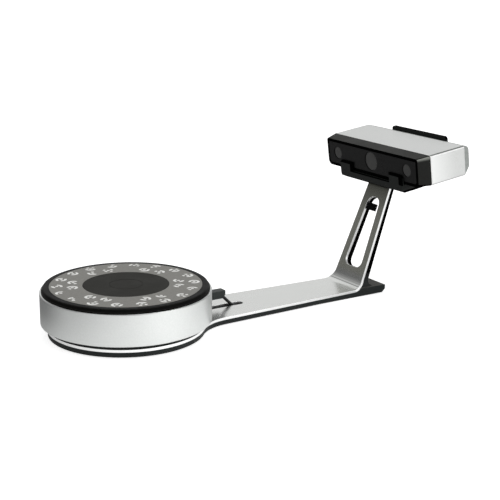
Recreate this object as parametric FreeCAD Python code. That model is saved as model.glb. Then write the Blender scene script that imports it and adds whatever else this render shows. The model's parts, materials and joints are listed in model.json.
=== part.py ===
import FreeCAD, Part
import math
import os

# Desktop 3D scanner: a turntable and a scanner head on one bent stand. Millimetres, +Z up.
# Origin: the turntable's axis on the surface that the stand rests on. +X runs to the post.

Vec = FreeCAD.Vector
Turn = FreeCAD.Rotation
Place = FreeCAD.Placement
AXIS_X = Vec(1, 0, 0)
AXIS_Y = Vec(0, 1, 0)
AXIS_Z = Vec(0, 0, 1)

# Clearances
fit_gap = 0.1            # round pieces that are assembled and then stay
running_gap = 0.3        # between pieces that pass each other
bearing_gap = 0.03       # shaft in its bush, on the radius
overrun = 1.0            # how far a cutter runs past a face
chamfer_small = 0.5

# Feet
foot_proud = 1.2         # rubber below the liner
foot_recess = 0.6        # rubber let into the liner
base_foot_inset = 17.0   # inside the plate's disc
rear_pad_length = 116.0
rear_pad_inset = 1.0     # inside the liner's edge at the arm's end
rear_pad_setback = 8.0   # from the heel's end
rear_pad_corner = 5.0

# Stand plate: disc, arm, bend and post in one sheet
plate_thickness = 3.5
disc_inset = 8.0         # inside the turntable ring
arm_root_reach = 23.0    # past the disc
arm_root_half = 42.7
arm_end_half = 34.5
arm_blend_radius = 62.0
bend_start_x = 324.7
bend_radius = 18.0
post_lean = 21.6
post_low_half = 30.0
post_top_half = 22.4
post_length = 141.2      # straight part, from the bend to the top edge

# Slots in the stand
arm_slot_reach = 63.0    # past the turntable ring
arm_slot_length = 80.0
arm_slot_width = 12.0
post_slot_rise = 12.8    # from the bend to the slot's lower end
post_slot_length = 100.0
post_rail_low = 11.0     # width of the rail beside the slot
post_rail_top = 12.0
post_slot_low_corner = 10.0
post_slot_top_corner = 11.0

# Liner
liner_depth = 6.1
liner_setback = 0.5      # liner's edge inside the plate's edge
liner_post_low = 7.5     # thickness behind the post
liner_post_top = 5.0
heel_reach = 52.3        # past the start of the bend
heel_half = 36.5
heel_height = 10.6
heel_fillet = 8.0
heel_chamfer = 5.0

# Liner screws
screw_head_radius = 2.8
screw_head_height = 2.0
screw_radius = 1.5
liner_screw_inset = 25.0  # inside the plate's disc
arm_screw_advance = 44.0  # past the arm's slot
arm_screw_inset = 14.0   # from the arm's edge
screw_floor = 0.6        # metal left above a blind screw hole

# Lead from the turntable
lead_diameter = 4.0
lead_room = 0.3          # around the lead in its channel
lead_drop_angle = 45.0
lead_drop_radius = 20.0
lead_turn_setback = 89.7  # before the bend
lead_edge_setback = 26.7
lead_spread_radius = 120.0
lead_straight_after_bend = 10.0
lead_exit_radius = 5.0
parked_plug_drop = 14.1  # below the slot's upper end
parked_plug_thickness = 8.0
parked_plug_height = 10.0
parked_plug_bore = 3.0

# Turntable housing
ring_radius = 105.0
ring_wall = 2.5
ring_lift = 5.6          # gap between the plate and the ring
ring_height = 39.4
ring_ledge = 2.0
ring_edge = 1.2
ring_inner_edge = 0.4
plinth_inset = 9.0       # inside the ring
plinth_gap = 1.5
pan_floor = 2.4
pan_wall = 2.4
pan_flange = 2.0
boss_radius = 4.5
table_screw_circle = 50.0
table_screw_grip = 8.0

# Bearing
spindle_radius = 4.0
spindle_head_radius = 9.0
spindle_head_height = 1.6
bush_radius = 6.0
bush_flange_radius = 9.0
bush_flange = 1.5
bush_length = 20.0
boss_wall = 5.0
clip_radius = 6.2
clip_thickness = 1.0
clip_groove = 0.5
clip_mouth = 2.8

# Gear train
gear_module = 1.25
gear_pressure_angle = 20.0
gear_backlash = 0.3
gear_addendum = 0.9      # of the module
gear_dedendum = 1.25
drive_teeth = 72
idler_teeth = 24
pinion_teeth = 12
gear_width = 5.0
drive_gear_bore = 20.0
idler_angle = 180.0
pinion_angle = 90.0
idler_pin_radius = 3.0
idler_pin_flange = 2.0
idler_pin_cap = 1.0
motor_shaft_radius = 2.5
motor_radius = 14.0
motor_height = 19.0
motor_ear_reach = 18.0
motor_ear_half = 3.5
motor_ear_thickness = 1.0
motor_gear_gap = 7.0
motor_screw_length = 8.0
motor_shaft_depth = 4.5
motor_collar_radius = 4.5
motor_collar_height = 2.5

# Platter
platter_inset = 2.1      # inside the ring
platter_gap = 0.5        # above the ring
platter_lip = 1.1
platter_rise = 5.0       # from the lip's underside to the top
platter_step_inset = 2.3  # inside the platter's edge
platter_top_inset = 3.5
platter_deck = 2.5
platter_skirt = 1.8
platter_skirt_gap = 1.4
platter_skirt_depth = 4.0
hub_length = 15.0        # from the deck down to the bush
gear_seat_length = 7.0   # from the deck down to the gear
marker_inset = 9.8       # inside the platter's edge
marker_inner = 52.8
marker_thickness = 0.8
groove_radius = 20.5
groove_width = 0.8
groove_depth = 0.3
gear_seat_outer = 40.0
gear_seat_inner = 30.0
gear_screw_circle = 35.0
rib_thickness = 1.6
rib_count = 12
rib_depth = 3.0
glide_inset = 21.0       # inside the ring
glide_radius = 4.5
glide_height = 1.6
glide_post_wall = 1.0

# Turntable electronics
board_thickness = 1.6
table_board_length = 40.0
table_board_half = 20.0
table_board_setback = 15.0  # inside the ring's outer face
standoff_height = 6.8
standoff_radius = 2.5
chip_side = 10.0
chip_height = 2.0
capacitor_radius = 4.0
capacitor_height = 9.0
socket_half = 8.0
socket_length = 17.0
socket_height = 12.4
plug_half = 6.0
plug_rise = 6.1          # above the ring's underside
plug_height = 10.5
plug_reach = 34.0        # past the ring
plug_chamfer = 4.6
plug_nose_half = 4.2
plug_nose_height = 5.4
plug_nose_depth = 7.0

# Scanner head, in its own frame: a back from the sleeve's front edge, y across, b up from its top
head_pitch = 7.75
head_width = 207.0
head_height = 40.7
sleeve_depth = 58.3
sleeve_wall = 2.0
sleeve_corner = 3.0
bezel_depth = 18.2
bezel_front_width = 196.6
bezel_top_drop = 1.9
bezel_bottom_rise = 0.3
bezel_top_corner = 3.5
bezel_low_corner = 7.5
bezel_wall = 2.5
bezel_front_wall = 4.0
bezel_tongue = 8.0
panel_margin = 4.0
panel_thickness = 3.0
panel_setback = 0.2      # behind the bezel's front edge
panel_ledge = 2.0
camera_spread = 75.0
camera_window_radius = 8.4
projector_window_radius = 12.8
window_level = 20.7      # below the top
window_thickness = 1.5
window_recess = 0.9      # behind the panel's face
window_seat = 1.0
rear_cap_depth = 8.8
rear_cap_side_inset = 1.8
rear_cap_low_inset = 8.0
rear_cap_top_inset = 3.0
rear_cap_corner = 5.0
rear_cap_wall = 2.5

# Inside the head
bar_thickness = 3.0
bar_side_margin = 15.5
bar_margin = 3.0
bar_screw_y = 50.0
bar_screw_inset = 4.0    # from the bar's edge
bar_boss_radius = 3.5
lens_gap = 0.6
camera_barrel_radius = 6.5
camera_body = 26.0
camera_body_depth = 15.0
projector_barrel_radius = 10.5
projector_body_half = 26.0
projector_body_depth = 32.0
projector_body_height = 22.0
fin_gap_count = 5
fin_gap_half = 3.0
fin_depth = 8.0
fin_margin = 3.0
lens_dish_share = 0.1    # depth of the glass dish over the barrel's radius
head_board_side_margin = 19.5
head_board_margin = 4.5
head_board_gap = 11.6    # from the board to the rear wall's inside
head_chip_side = 16.0
head_chip_height = 2.0
head_chip_y = 48.0
board_post_y = 53.0
board_post_margin = 6.0
screw_port_radius = 3.5
screw_port_margin = 13.5  # from the sleeve's side
screw_port_length = 24.0
cap_screw_grip = 9.0
cap_screw_floor = 2.5    # cover between the sleeve and a screw's head
fan_size = 25.0
fan_depth = 8.0
fan_hole_radius = 11.4
fan_hub_radius = 6.0
fan_blades = 7
fan_blade_pitch = 30.0
fan_blade_half = 0.6
fan_blade_gap = 0.8
fan_web = 1.5
fan_spoke_half = 1.0
fan_axle_radius = 1.5
fan_y = 30.0
vent_width = 2.0
vent_pitch = 4.4
vent_count = 6
vent_half_height = 10.0
side_vent_margin = 31.5  # from the sleeve's side
port_level = 19.5        # below the top
port_sunk = 0.3          # socket faces behind the rear wall's outer face
port_depth = 9.0
jack_y = -29.0
jack_half_width = 4.5
jack_half_height = 5.5
jack_bore = 3.2
jack_pin_radius = 1.0
usb_y = -13.0
usb_half_width = 6.0
usb_half_height = 5.5
usb_wall = 1.4
usb_tongue_half_width = 2.8
usb_tongue_half_height = 1.6
table_port_y = 4.0
table_port_half_width = 5.5
table_port_half_height = 4.0
switch_half = 3.0
button_y = -44.0
button_radius = 4.0
button_flange = 1.2
button_flange_height = 1.4
button_sunk = 0.2        # behind the cover's outer face
button_travel = 1.0
button_round = 0.6
insert_a = 30.0
insert_radius = 5.5
insert_bore = 3.175      # quarter-inch tripod thread
insert_length = 7.7
insert_flange_radius = 8.0
insert_flange = 1.5

# Cradle, in the head's frame
pad_thickness = 1.2
pad_proud = 0.8
pad_length = 14.0
pad_width = 22.0
pad_y = 48.0
pad_front_setback = 4.0  # a pad's middle, from the sleeve's front edge
pad_rear_setback = 8.3   # from its rear edge
cradle_half = 68.4
lip_thickness = 1.5
lip_height = 1.0
lip_face = 10.4
hook_width = 29.3
hook_height = 13.1
hook_chamfer = 4.0
hook_corner = 0.8
cradle_floor = 5.7       # above the post's top edge
cradle_depth = 15.0
cradle_front_slope = 8.0
cradle_flat_end = -6.0
cradle_rear_depth = 8.0
cradle_side_radius = 10.0
cradle_lip_corner = 0.5
belly_front_radius = 12.0
belly_rear_radius = 40.0
cradle_back_corner = 3.0
post_advance = 1.5       # post's front face ahead of the sleeve's front edge, along a
frame_gap = 0.3
frame_thickness = 4.0
frame_half = 56.5
frame_rise = 2.8
frame_corner = 4.0
frame_side_rail = 6.5
frame_low_rail = 4.7     # above the head's underside
frame_top_rail = 8.8
frame_window_corner = 6.0
cradle_screw_y = 12.0
cradle_screw_drop = 4.0  # below the post's top edge
cradle_screw_web = 2.0   # cradle between the liner and a screw's head
cradle_boss_radius = 4.5

# Levels and places that follow
disc_radius = ring_radius - disc_inset
arm_root_x = disc_radius + arm_root_reach
base_foot_radius = disc_radius - base_foot_inset
liner_screw_circle = disc_radius - liner_screw_inset
plinth_radius = ring_radius - plinth_inset
platter_radius = ring_radius - platter_inset
marker_outer = platter_radius - marker_inset
glide_circle = ring_radius - glide_inset
plate_bottom = foot_proud + liner_depth
plate_top = plate_bottom + plate_thickness
ring_bottom = plate_top + ring_lift
ring_top = ring_bottom + ring_height
pan_top = plate_top + pan_floor
platter_bottom = ring_top + platter_gap
platter_top = platter_bottom + platter_rise
deck_top = platter_top - marker_thickness
platter_under = deck_top - platter_deck
bearing_level = platter_under - hub_length
gear_top = platter_under - gear_seat_length
gear_level = gear_top - gear_width
motor_top = gear_level - motor_gear_gap
table_board_level = pan_top + standoff_height
table_board_top = table_board_level + board_thickness
table_board_end = ring_radius - table_board_setback
plug_bottom = ring_bottom + plug_rise
plug_top = plug_bottom + plug_height
plug_middle = (plug_bottom + plug_top) / 2
plug_end_x = ring_radius + plug_reach
arm_slot_end = ring_radius + arm_slot_reach
arm_slot_start = arm_slot_end - arm_slot_length
arm_screw_x = arm_slot_end + arm_screw_advance
heel_end_x = bend_start_x + heel_reach
rear_pad_end = heel_end_x - rear_pad_setback
liner_head_top = foot_proud + foot_recess + screw_head_height
cradle_screw_seat = plate_thickness + liner_post_top + cradle_screw_web
lead_radius = lead_diameter / 2
channel_width = lead_diameter + 2 * lead_room
channel_depth = lead_diameter + lead_room
lead_level = plate_bottom - lead_room / 2 - lead_radius
lead_offset = plate_thickness + lead_room / 2 + lead_radius
rear_pad_half = arm_end_half - liner_setback - rear_pad_inset
lead_exit = Vec(plug_end_x - plug_chamfer / 2, 0,
                plug_bottom + plug_chamfer / 2 * math.tan(math.radians(lead_drop_angle)))
lead_landing_x = lead_exit.x + (lead_exit.z - lead_level) / math.tan(math.radians(lead_drop_angle))
bend_turn = math.radians(90 - post_lean)
bend_centre = Vec(bend_start_x, 0, plate_top + bend_radius)
bend_tangent = bend_radius * math.tan(bend_turn / 2)
post_foot_x = bend_start_x + bend_tangent - plate_top * math.tan(math.radians(post_lean))
bend_end = plate_top / math.cos(math.radians(post_lean)) + bend_tangent
bend_begin = bend_end - bend_radius * math.sin(bend_turn)
post_end = bend_end + post_length
post_slot_low = bend_end + post_slot_rise
post_slot_top = post_slot_low + post_slot_length
parked_level = post_slot_top - parked_plug_drop
post_place = Place(Vec(post_foot_x, 0, 0), Turn(AXIS_Y, post_lean))
head_turn = Turn(AXIS_Y, -head_pitch)
post_tip = post_place.multVec(Vec(0, 0, post_end))
tray_level = -head_height - pad_proud
head_origin = post_tip - head_turn.multVec(Vec(-post_advance, 0, tray_level - cradle_floor))
head_place = Place(head_origin, head_turn)
idler_way = Vec(math.cos(math.radians(idler_angle)), math.sin(math.radians(idler_angle)), 0)
idler_place = idler_way * (gear_module * (drive_teeth + idler_teeth) / 2)
pinion_way = Vec(math.cos(math.radians(pinion_angle)), math.sin(math.radians(pinion_angle)), 0)
motor_place = idler_place + pinion_way * (gear_module * (idler_teeth + pinion_teeth) / 2)
head_half = head_width / 2
panel_front = panel_setback - bezel_depth
panel_back = panel_front + panel_thickness
window_front = panel_front + window_recess
bar_back = bezel_tongue + bar_thickness
head_rear = sleeve_depth + rear_cap_depth
rear_wall_inside = head_rear - rear_cap_wall
head_board_a = rear_wall_inside - head_board_gap
jack_half = (jack_half_width, jack_half_height)
usb_half = (usb_half_width, usb_half_height)
table_port_half = (table_port_half_width, table_port_half_height)
head_board_half = head_half - head_board_side_margin
screw_port_y = head_half - screw_port_margin
cap_screw_seat = sleeve_depth + cap_screw_floor
fan_front = rear_wall_inside - fan_depth
side_vent_y = head_half - side_vent_margin
port_face = head_rear - port_sunk
button_back = rear_wall_inside - running_gap - button_flange_height


# Solids and outlines

def box(x0, x1, y0, y1, z0, z1):
    return Part.makeBox(x1 - x0, y1 - y0, z1 - z0, Vec(x0, y0, z0))


def rod(radius, start, end):
    return Part.makeCylinder(radius, (end - start).Length, start, end - start)


def post_rod(radius, x, y, z0, z1):
    return Part.makeCylinder(radius, z1 - z0, Vec(x, y, z0), AXIS_Z)


def tube(outer, inner, x, y, z0, z1):
    return post_rod(outer, x, y, z0, z1).cut(post_rod(inner, x, y, z0 - overrun, z1 + overrun))


def corner(before, point, after, radius):
    """The tangent arc that rounds a corner, as its start, middle and end."""
    back = (before - point).normalize()
    ahead = (after - point).normalize()
    half_angle = back.getAngle(ahead) / 2
    reach = radius / math.tan(half_angle)
    bisector = (back + ahead).normalize()
    centre = point + bisector * (radius / math.sin(half_angle))
    return point + back * reach, centre - bisector * radius, point + ahead * reach


def rounded(points, radii, closed=True):
    """A wire through straight runs, with an arc of the given radius at each point."""
    count = len(points)
    knots = []
    for i in range(count):
        inner_point = closed or 0 < i < count - 1
        if inner_point and radii[i] > 0:
            knots.append(corner(points[i - 1], points[i], points[(i + 1) % count], radii[i]))
        else:
            knots.append((points[i],))
    edges = []
    for i, knot in enumerate(knots):
        if len(knot) == 3:
            edges.append(Part.Arc(*knot).toShape())
        if closed or i < count - 1:
            start = knot[-1]
            end = knots[(i + 1) % count][0]
            if (end - start).Length > 1e-6:
                edges.append(Part.LineSegment(start, end).toShape())
    return Part.Wire(edges)


def prism(wire, along):
    return Part.Face(wire).extrude(along)


def turned(points, radii=None):
    """A solid of revolution about Z from (radius, height) corners."""
    corners = [Vec(r, 0, z) for r, z in points]
    wire = rounded(corners, radii or [0] * len(corners))
    return Part.Face(wire).revolve(Vec(0, 0, 0), AXIS_Z, 360)


def joined(first, *others):
    result = first
    for other in others:
        result = result.fuse(other)
    return result.removeSplitter()


def placed(shape, place):
    moved = shape.copy()
    moved.Placement = place.multiply(moved.Placement)
    return moved


def ring_points(radius, count, first_angle=0.0):
    step = 2 * math.pi / count
    start = math.radians(first_angle)
    return [(radius * math.cos(start + i * step), radius * math.sin(start + i * step)) for i in range(count)]


def panel_outline(half, bottom, top, radius, a, low_radius=None):
    """A rounded rectangle across the head at the depth a."""
    low = radius if low_radius is None else low_radius
    points = [Vec(a, -half, bottom), Vec(a, half, bottom), Vec(a, half, top), Vec(a, -half, top)]
    return rounded(points, [low, low, radius, radius])


def panel_block(half, bottom, top, radius, a0, a1, low_radius=None):
    return prism(panel_outline(half, bottom, top, radius, a0, low_radius), Vec(a1 - a0, 0, 0))


# Stand

def post_half(along):
    """Half the post's width, at a distance along it from its foot."""
    share = (along - bend_end) / post_length
    return post_low_half + (post_top_half - post_low_half) * share


def post_rail(along):
    share = (along - post_slot_low) / post_slot_length
    return post_rail_low + (post_rail_top - post_rail_low) * share


def flat_outline(inset, end_x, end_half):
    """Disc and arm seen from above, inset from the plate's edge."""
    radius = disc_radius - inset
    blend = arm_blend_radius + inset
    root = Vec(arm_root_x, arm_root_half - inset, 0)
    tip = Vec(end_x, end_half - inset, 0)
    along = (tip - root).normalize()
    outward = Vec(-along.y, along.x, 0)
    height = outward.dot(root) + blend
    centre = outward * height + along * math.sqrt((radius + blend) ** 2 - height ** 2)
    on_disc = centre * (radius / centre.Length)
    on_arm = centre - outward * blend
    toward = (on_disc + on_arm) * 0.5 - centre
    middle = centre + toward.normalize() * blend
    mirror = [Vec(p.x, -p.y, 0) for p in (tip, on_arm, middle, on_disc)]
    edges = [Part.LineSegment(tip, on_arm), Part.Arc(on_arm, middle, on_disc),
             Part.Arc(on_disc, Vec(-radius, 0, 0), mirror[3]), Part.Arc(mirror[3], mirror[2], mirror[1]),
             Part.LineSegment(mirror[1], mirror[0]), Part.LineSegment(mirror[0], tip)]
    return Part.Wire([edge.toShape() for edge in edges])


def post_envelope(inset):
    """Everything inside the outline of bend and post, as seen square to the post."""
    depth = 3 * (bend_radius + heel_end_x - bend_start_x)
    half = [(bend_begin - depth, arm_end_half), (bend_begin, arm_end_half), (bend_end, post_low_half),
            (post_end + overrun, post_half(post_end + overrun))]
    points = [Vec(-depth, y - inset, z) for z, y in half]
    points += [Vec(-depth, inset - y, z) for z, y in reversed(half)]
    return placed(prism(rounded(points, [0] * len(points)), Vec(2 * depth, 0, 0)), post_place)


def bend_point(radius, angle):
    """A point on the bend, at an angle up from where it starts."""
    return bend_centre + Vec(math.sin(angle), 0, -math.cos(angle)) * radius


def post_point(depth, along):
    return post_place.multVec(Vec(depth, 0, along))


def bend_arc(radius):
    return Part.Arc(bend_point(radius, 0), bend_point(radius, bend_turn / 2), bend_point(radius, bend_turn))


def arm_slot_cutter(z0, z1):
    half = arm_slot_width / 2
    points = [Vec(arm_slot_start, -half, z0), Vec(arm_slot_end, -half, z0),
              Vec(arm_slot_end, half, z0), Vec(arm_slot_start, half, z0)]
    return prism(rounded(points, [half - 0.01] * 4), Vec(0, 0, z1 - z0))


def post_slot_cutter():
    low_half = post_half(post_slot_low) - post_rail(post_slot_low)
    top_half = post_half(post_slot_top) - post_rail(post_slot_top)
    points = [Vec(-overrun, -low_half, post_slot_low), Vec(-overrun, low_half, post_slot_low),
              Vec(-overrun, top_half, post_slot_top), Vec(-overrun, -top_half, post_slot_top)]
    radii = [post_slot_low_corner, post_slot_low_corner, post_slot_top_corner, post_slot_top_corner]
    depth = 2 * overrun + plate_thickness + liner_post_low
    return placed(prism(rounded(points, radii), Vec(depth, 0, 0)), post_place)


def liner_screw_places():
    share = (arm_screw_x - arm_root_x) / (bend_start_x - arm_root_x)
    y = arm_root_half + (arm_end_half - arm_root_half) * share - arm_screw_inset
    return ring_points(liner_screw_circle, 4) + [(arm_screw_x, y), (arm_screw_x, -y)]


def table_screw_places():
    return ring_points(table_screw_circle, 4, 45)


def cradle_screw_line(y, depth0, depth1):
    along = post_end - cradle_screw_drop
    return post_place.multVec(Vec(depth0, y, along)), post_place.multVec(Vec(depth1, y, along))


def cradle_screw_hole(radius, depth0, depth1):
    rods = [rod(radius, *cradle_screw_line(y, depth0, depth1)) for y in (-cradle_screw_y, cradle_screw_y)]
    return Part.makeCompound(rods)


def stand_plate_blank():
    inner = bend_radius
    outer = bend_radius + plate_thickness
    edges = [bend_arc(inner), Part.LineSegment(bend_point(inner, bend_turn), post_point(0, post_end)),
             Part.LineSegment(post_point(0, post_end), post_point(plate_thickness, post_end)),
             Part.LineSegment(post_point(plate_thickness, post_end), bend_point(outer, bend_turn)),
             bend_arc(outer), Part.LineSegment(bend_point(outer, 0), bend_point(inner, 0))]
    wire = Part.Wire(Part.__sortEdges__([edge.toShape() for edge in edges]))
    wire.translate(Vec(0, -arm_root_half, 0))
    bent = prism(wire, Vec(0, 2 * arm_root_half, 0)).common(post_envelope(0))
    flat = prism(flat_outline(0, bend_start_x, arm_end_half), Vec(0, 0, plate_thickness))
    flat.translate(Vec(0, 0, plate_bottom))
    return joined(flat, bent)


def liner_blank():
    outer = bend_radius + plate_thickness
    back_low = post_point(plate_thickness + liner_post_low, bend_end)
    back_top = post_point(plate_thickness + liner_post_top, post_end)
    heel_top = foot_proud + heel_height
    rise = (heel_top - back_low.z) / (back_top.z - back_low.z)
    heel_root = back_low + (back_top - back_low) * rise
    end = Vec(heel_end_x, 0, heel_top)
    start_fillet, middle_fillet, end_fillet = corner(back_top, heel_root, end, heel_fillet)
    edges = [bend_arc(outer),
             Part.LineSegment(bend_point(outer, bend_turn), post_point(plate_thickness, post_end)),
             Part.LineSegment(post_point(plate_thickness, post_end), back_top),
             Part.LineSegment(back_top, start_fillet),
             Part.Arc(start_fillet, middle_fillet, end_fillet),
             Part.LineSegment(end_fillet, end),
             Part.LineSegment(end, Vec(heel_end_x, 0, foot_proud + heel_chamfer)),
             Part.LineSegment(Vec(heel_end_x, 0, foot_proud + heel_chamfer),
                              Vec(heel_end_x - heel_chamfer, 0, foot_proud)),
             Part.LineSegment(Vec(heel_end_x - heel_chamfer, 0, foot_proud),
                              Vec(bend_start_x, 0, foot_proud)),
             Part.LineSegment(Vec(bend_start_x, 0, foot_proud), bend_point(outer, 0))]
    wire = Part.Wire(Part.__sortEdges__([edge.toShape() for edge in edges]))
    wire.translate(Vec(0, -arm_root_half, 0))
    side = prism(wire, Vec(0, 2 * arm_root_half, 0))
    slope = (heel_half - arm_end_half + liner_setback) / (heel_end_x - bend_start_x)
    start_half = arm_end_half - liner_setback
    heel_points = [Vec(bend_start_x, start_half, 0),
                   Vec(heel_end_x + overrun, heel_half + slope * overrun, 0)]
    heel_points += [Vec(p.x, -p.y, 0) for p in reversed(heel_points)]
    heel = side.common(prism(rounded(heel_points, [0] * 4), Vec(0, 0, heel_top)))
    behind = side.common(post_envelope(liner_setback))
    flat = prism(flat_outline(liner_setback, bend_start_x, arm_end_half), Vec(0, 0, liner_depth))
    flat.translate(Vec(0, 0, foot_proud))
    return joined(flat, heel, behind)


def lead_points():
    """Corners of the lead's route and the bend radius at each of them."""
    lead_turn_x = bend_start_x - lead_turn_setback
    lead_edge_x = bend_start_x - lead_edge_setback
    rail_y = post_half(post_slot_low) - post_rail_low / 2
    high = parked_level
    high_y = post_half(high) - post_rail(high) / 2
    bend_outer = bend_radius + lead_offset
    bend_corner_x = bend_start_x + bend_outer * math.tan(bend_turn / 2)
    inside_plug = post_half(high) - post_rail(high) - parked_plug_bore
    points = [lead_exit, Vec(lead_landing_x, 0, lead_level), Vec(lead_turn_x, 0, lead_level),
              Vec(lead_edge_x, rail_y, lead_level), Vec(bend_corner_x, rail_y, lead_level),
              post_place.multVec(Vec(lead_offset, rail_y, bend_end + lead_straight_after_bend)),
              post_place.multVec(Vec(lead_offset, high_y, high)),
              post_place.multVec(Vec(lead_offset, inside_plug, high))]
    radii = [0, lead_drop_radius, lead_spread_radius, lead_spread_radius / 2, bend_outer,
             lead_spread_radius, lead_exit_radius, 0]
    return points, radii


def tube_along(wire, radius):
    start = wire.Vertexes[0].Point
    direction = wire.Edges[0].tangentAt(wire.Edges[0].FirstParameter)
    if (wire.Edges[0].valueAt(wire.Edges[0].FirstParameter) - start).Length > 1e-6:
        direction = wire.Edges[0].tangentAt(wire.Edges[0].LastParameter) * -1
    circle = Part.Wire(Part.makeCircle(radius, start, direction))
    return wire.makePipeShell([circle], True, False)


def lead_channel():
    """Groove in the liner's top that holds the lead, open to the plate."""
    points, _ = lead_points()
    half = channel_width / 2
    floor = plate_bottom - channel_depth
    arm = [Vec(p.x, p.y, floor) for p in points[1:4]] + [Vec(bend_start_x + half, points[4].y, floor)]
    arm[0].x = arm_slot_end - arm_slot_width / 2
    strip = rounded(arm, [0, lead_spread_radius, lead_spread_radius / 2, 0], closed=False)
    cutter = strip.makeOffset2D(half, 0, True, False).extrude(Vec(0, 0, channel_depth + overrun))
    bend = Part.makeCylinder(bend_radius + plate_thickness + channel_depth, channel_width,
                             bend_centre + Vec(0, points[4].y - half, 0), AXIS_Y)
    turn_back = post_place.inverse()
    local = [turn_back.multVec(p) for p in points[5:]]
    first = Vec(plate_thickness, local[0].y, bend_end - half)
    route = [first] + [Vec(plate_thickness, p.y, p.z) for p in local]
    rail = rounded(route, [0, lead_spread_radius, lead_exit_radius, 0], closed=False)
    upward = rail.makeOffset2D(half, 0, True, False).extrude(Vec(channel_depth, 0, 0))
    return [cutter, bend, placed(upward, post_place)]


def stand_plate():
    plate = stand_plate_blank()
    plate = plate.cut(arm_slot_cutter(plate_bottom - overrun, plate_top + overrun)).cut(post_slot_cutter())
    for x, y in liner_screw_places():
        plate = plate.cut(post_rod(screw_radius + bearing_gap, x, y, plate_bottom - overrun,
                                   plate_top - screw_floor))
    for x, y in table_screw_places():
        plate = plate.cut(post_rod(screw_radius + fit_gap, x, y, plate_bottom - overrun,
                                   plate_top + overrun))
    holes = cradle_screw_hole(screw_radius + bearing_gap, screw_floor, plate_thickness + overrun)
    return plate.cut(holes)


def stand_liner():
    liner = liner_blank().cut(post_slot_cutter())
    liner = liner.cut(arm_slot_cutter(plate_bottom - channel_depth, plate_bottom + overrun))
    for cutter in lead_channel():
        liner = liner.cut(cutter)
    for x, y in liner_screw_places():
        liner = liner.cut(post_rod(screw_radius + fit_gap, x, y, 0, plate_top))
        liner = liner.cut(post_rod(screw_head_radius + fit_gap, x, y, 0, liner_head_top))
    for x, y in table_screw_places():
        liner = liner.cut(post_rod(screw_head_radius + fit_gap, x, y, 0, plate_bottom + overrun))
    recess_top = foot_proud + foot_recess
    liner = liner.cut(post_rod(base_foot_radius, 0, 0, 0, recess_top))
    liner = liner.cut(rear_pad_block(0, recess_top))
    holes = cradle_screw_hole(screw_radius + fit_gap, 0, plate_thickness + liner_post_low + overrun)
    return liner.cut(holes)


def rear_pad_block(z0, z1):
    start = rear_pad_end - rear_pad_length
    points = [Vec(start, -rear_pad_half, z0), Vec(rear_pad_end, -rear_pad_half, z0),
              Vec(rear_pad_end, rear_pad_half, z0), Vec(start, rear_pad_half, z0)]
    return prism(rounded(points, [rear_pad_corner] * 4), Vec(0, 0, z1 - z0))


def liner_screws():
    screws = []
    for x, y in liner_screw_places():
        head = post_rod(screw_head_radius, x, y, liner_head_top - screw_head_height, liner_head_top)
        shank = post_rod(screw_radius, x, y, liner_head_top, plate_top - screw_floor - fit_gap)
        screws.append(head.fuse(shank))
    return Part.makeCompound(screws)


def cradle_screws():
    seat = cradle_screw_seat
    screws = []
    for y in (-cradle_screw_y, cradle_screw_y):
        head = rod(screw_head_radius, *cradle_screw_line(y, seat, seat + screw_head_height))
        shank = rod(screw_radius, *cradle_screw_line(y, screw_floor + fit_gap, seat))
        screws.append(head.fuse(shank))
    return Part.makeCompound(screws)


def turntable_lead():
    points, radii = lead_points()
    return tube_along(rounded(points, radii, closed=False), lead_radius)


def lead_plug():
    start = ring_radius + fit_gap
    body = box(start, plug_end_x, -plug_half, plug_half, plug_bottom, plug_top)
    across = Vec(math.sin(math.radians(lead_drop_angle)), 0, math.cos(math.radians(lead_drop_angle)))
    outward = Vec(math.cos(math.radians(lead_drop_angle)), 0, -math.sin(math.radians(lead_drop_angle)))
    low = lead_exit - across * plug_reach - Vec(0, plug_half + overrun, 0)
    high = lead_exit + across * plug_reach - Vec(0, plug_half + overrun, 0)
    wire = rounded([low, high, high + outward * plug_reach, low + outward * plug_reach], [0] * 4)
    body = body.cut(prism(wire, Vec(0, 2 * (plug_half + overrun), 0)))
    nose = box(start - plug_nose_depth, start, -plug_nose_half, plug_nose_half,
               plug_middle - plug_nose_height / 2, plug_middle + plug_nose_height / 2)
    return joined(body, nose)


def parked_plug():
    """The lead's far plug, resting against the side of the post's slot."""
    thick, tall = parked_plug_thickness, parked_plug_height
    block = box(lead_offset - thick / 2, lead_offset + thick / 2, 0, post_low_half,
                parked_level - tall / 2, parked_level + tall / 2)
    block = placed(block, post_place).common(post_slot_cutter())
    points, _ = lead_points()
    return block.cut(rod(lead_radius + fit_gap, points[-1], points[-2]))


# Turntable housing

def turntable_ring():
    inner = ring_radius - ring_wall
    ledge = plinth_radius + plinth_gap
    points = [(ledge, ring_bottom), (ring_radius, ring_bottom), (ring_radius, ring_top), (inner, ring_top),
              (inner, ring_bottom + ring_ledge), (ledge, ring_bottom + ring_ledge)]
    ring = turned(points, [0, ring_edge, ring_edge, ring_inner_edge, 0, 0])
    opening = box(ring_radius - 3 * ring_wall, ring_radius + overrun, -plug_half - fit_gap,
                  plug_half + fit_gap, plug_bottom - fit_gap, plug_top + fit_gap)
    return ring.cut(opening)


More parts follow.
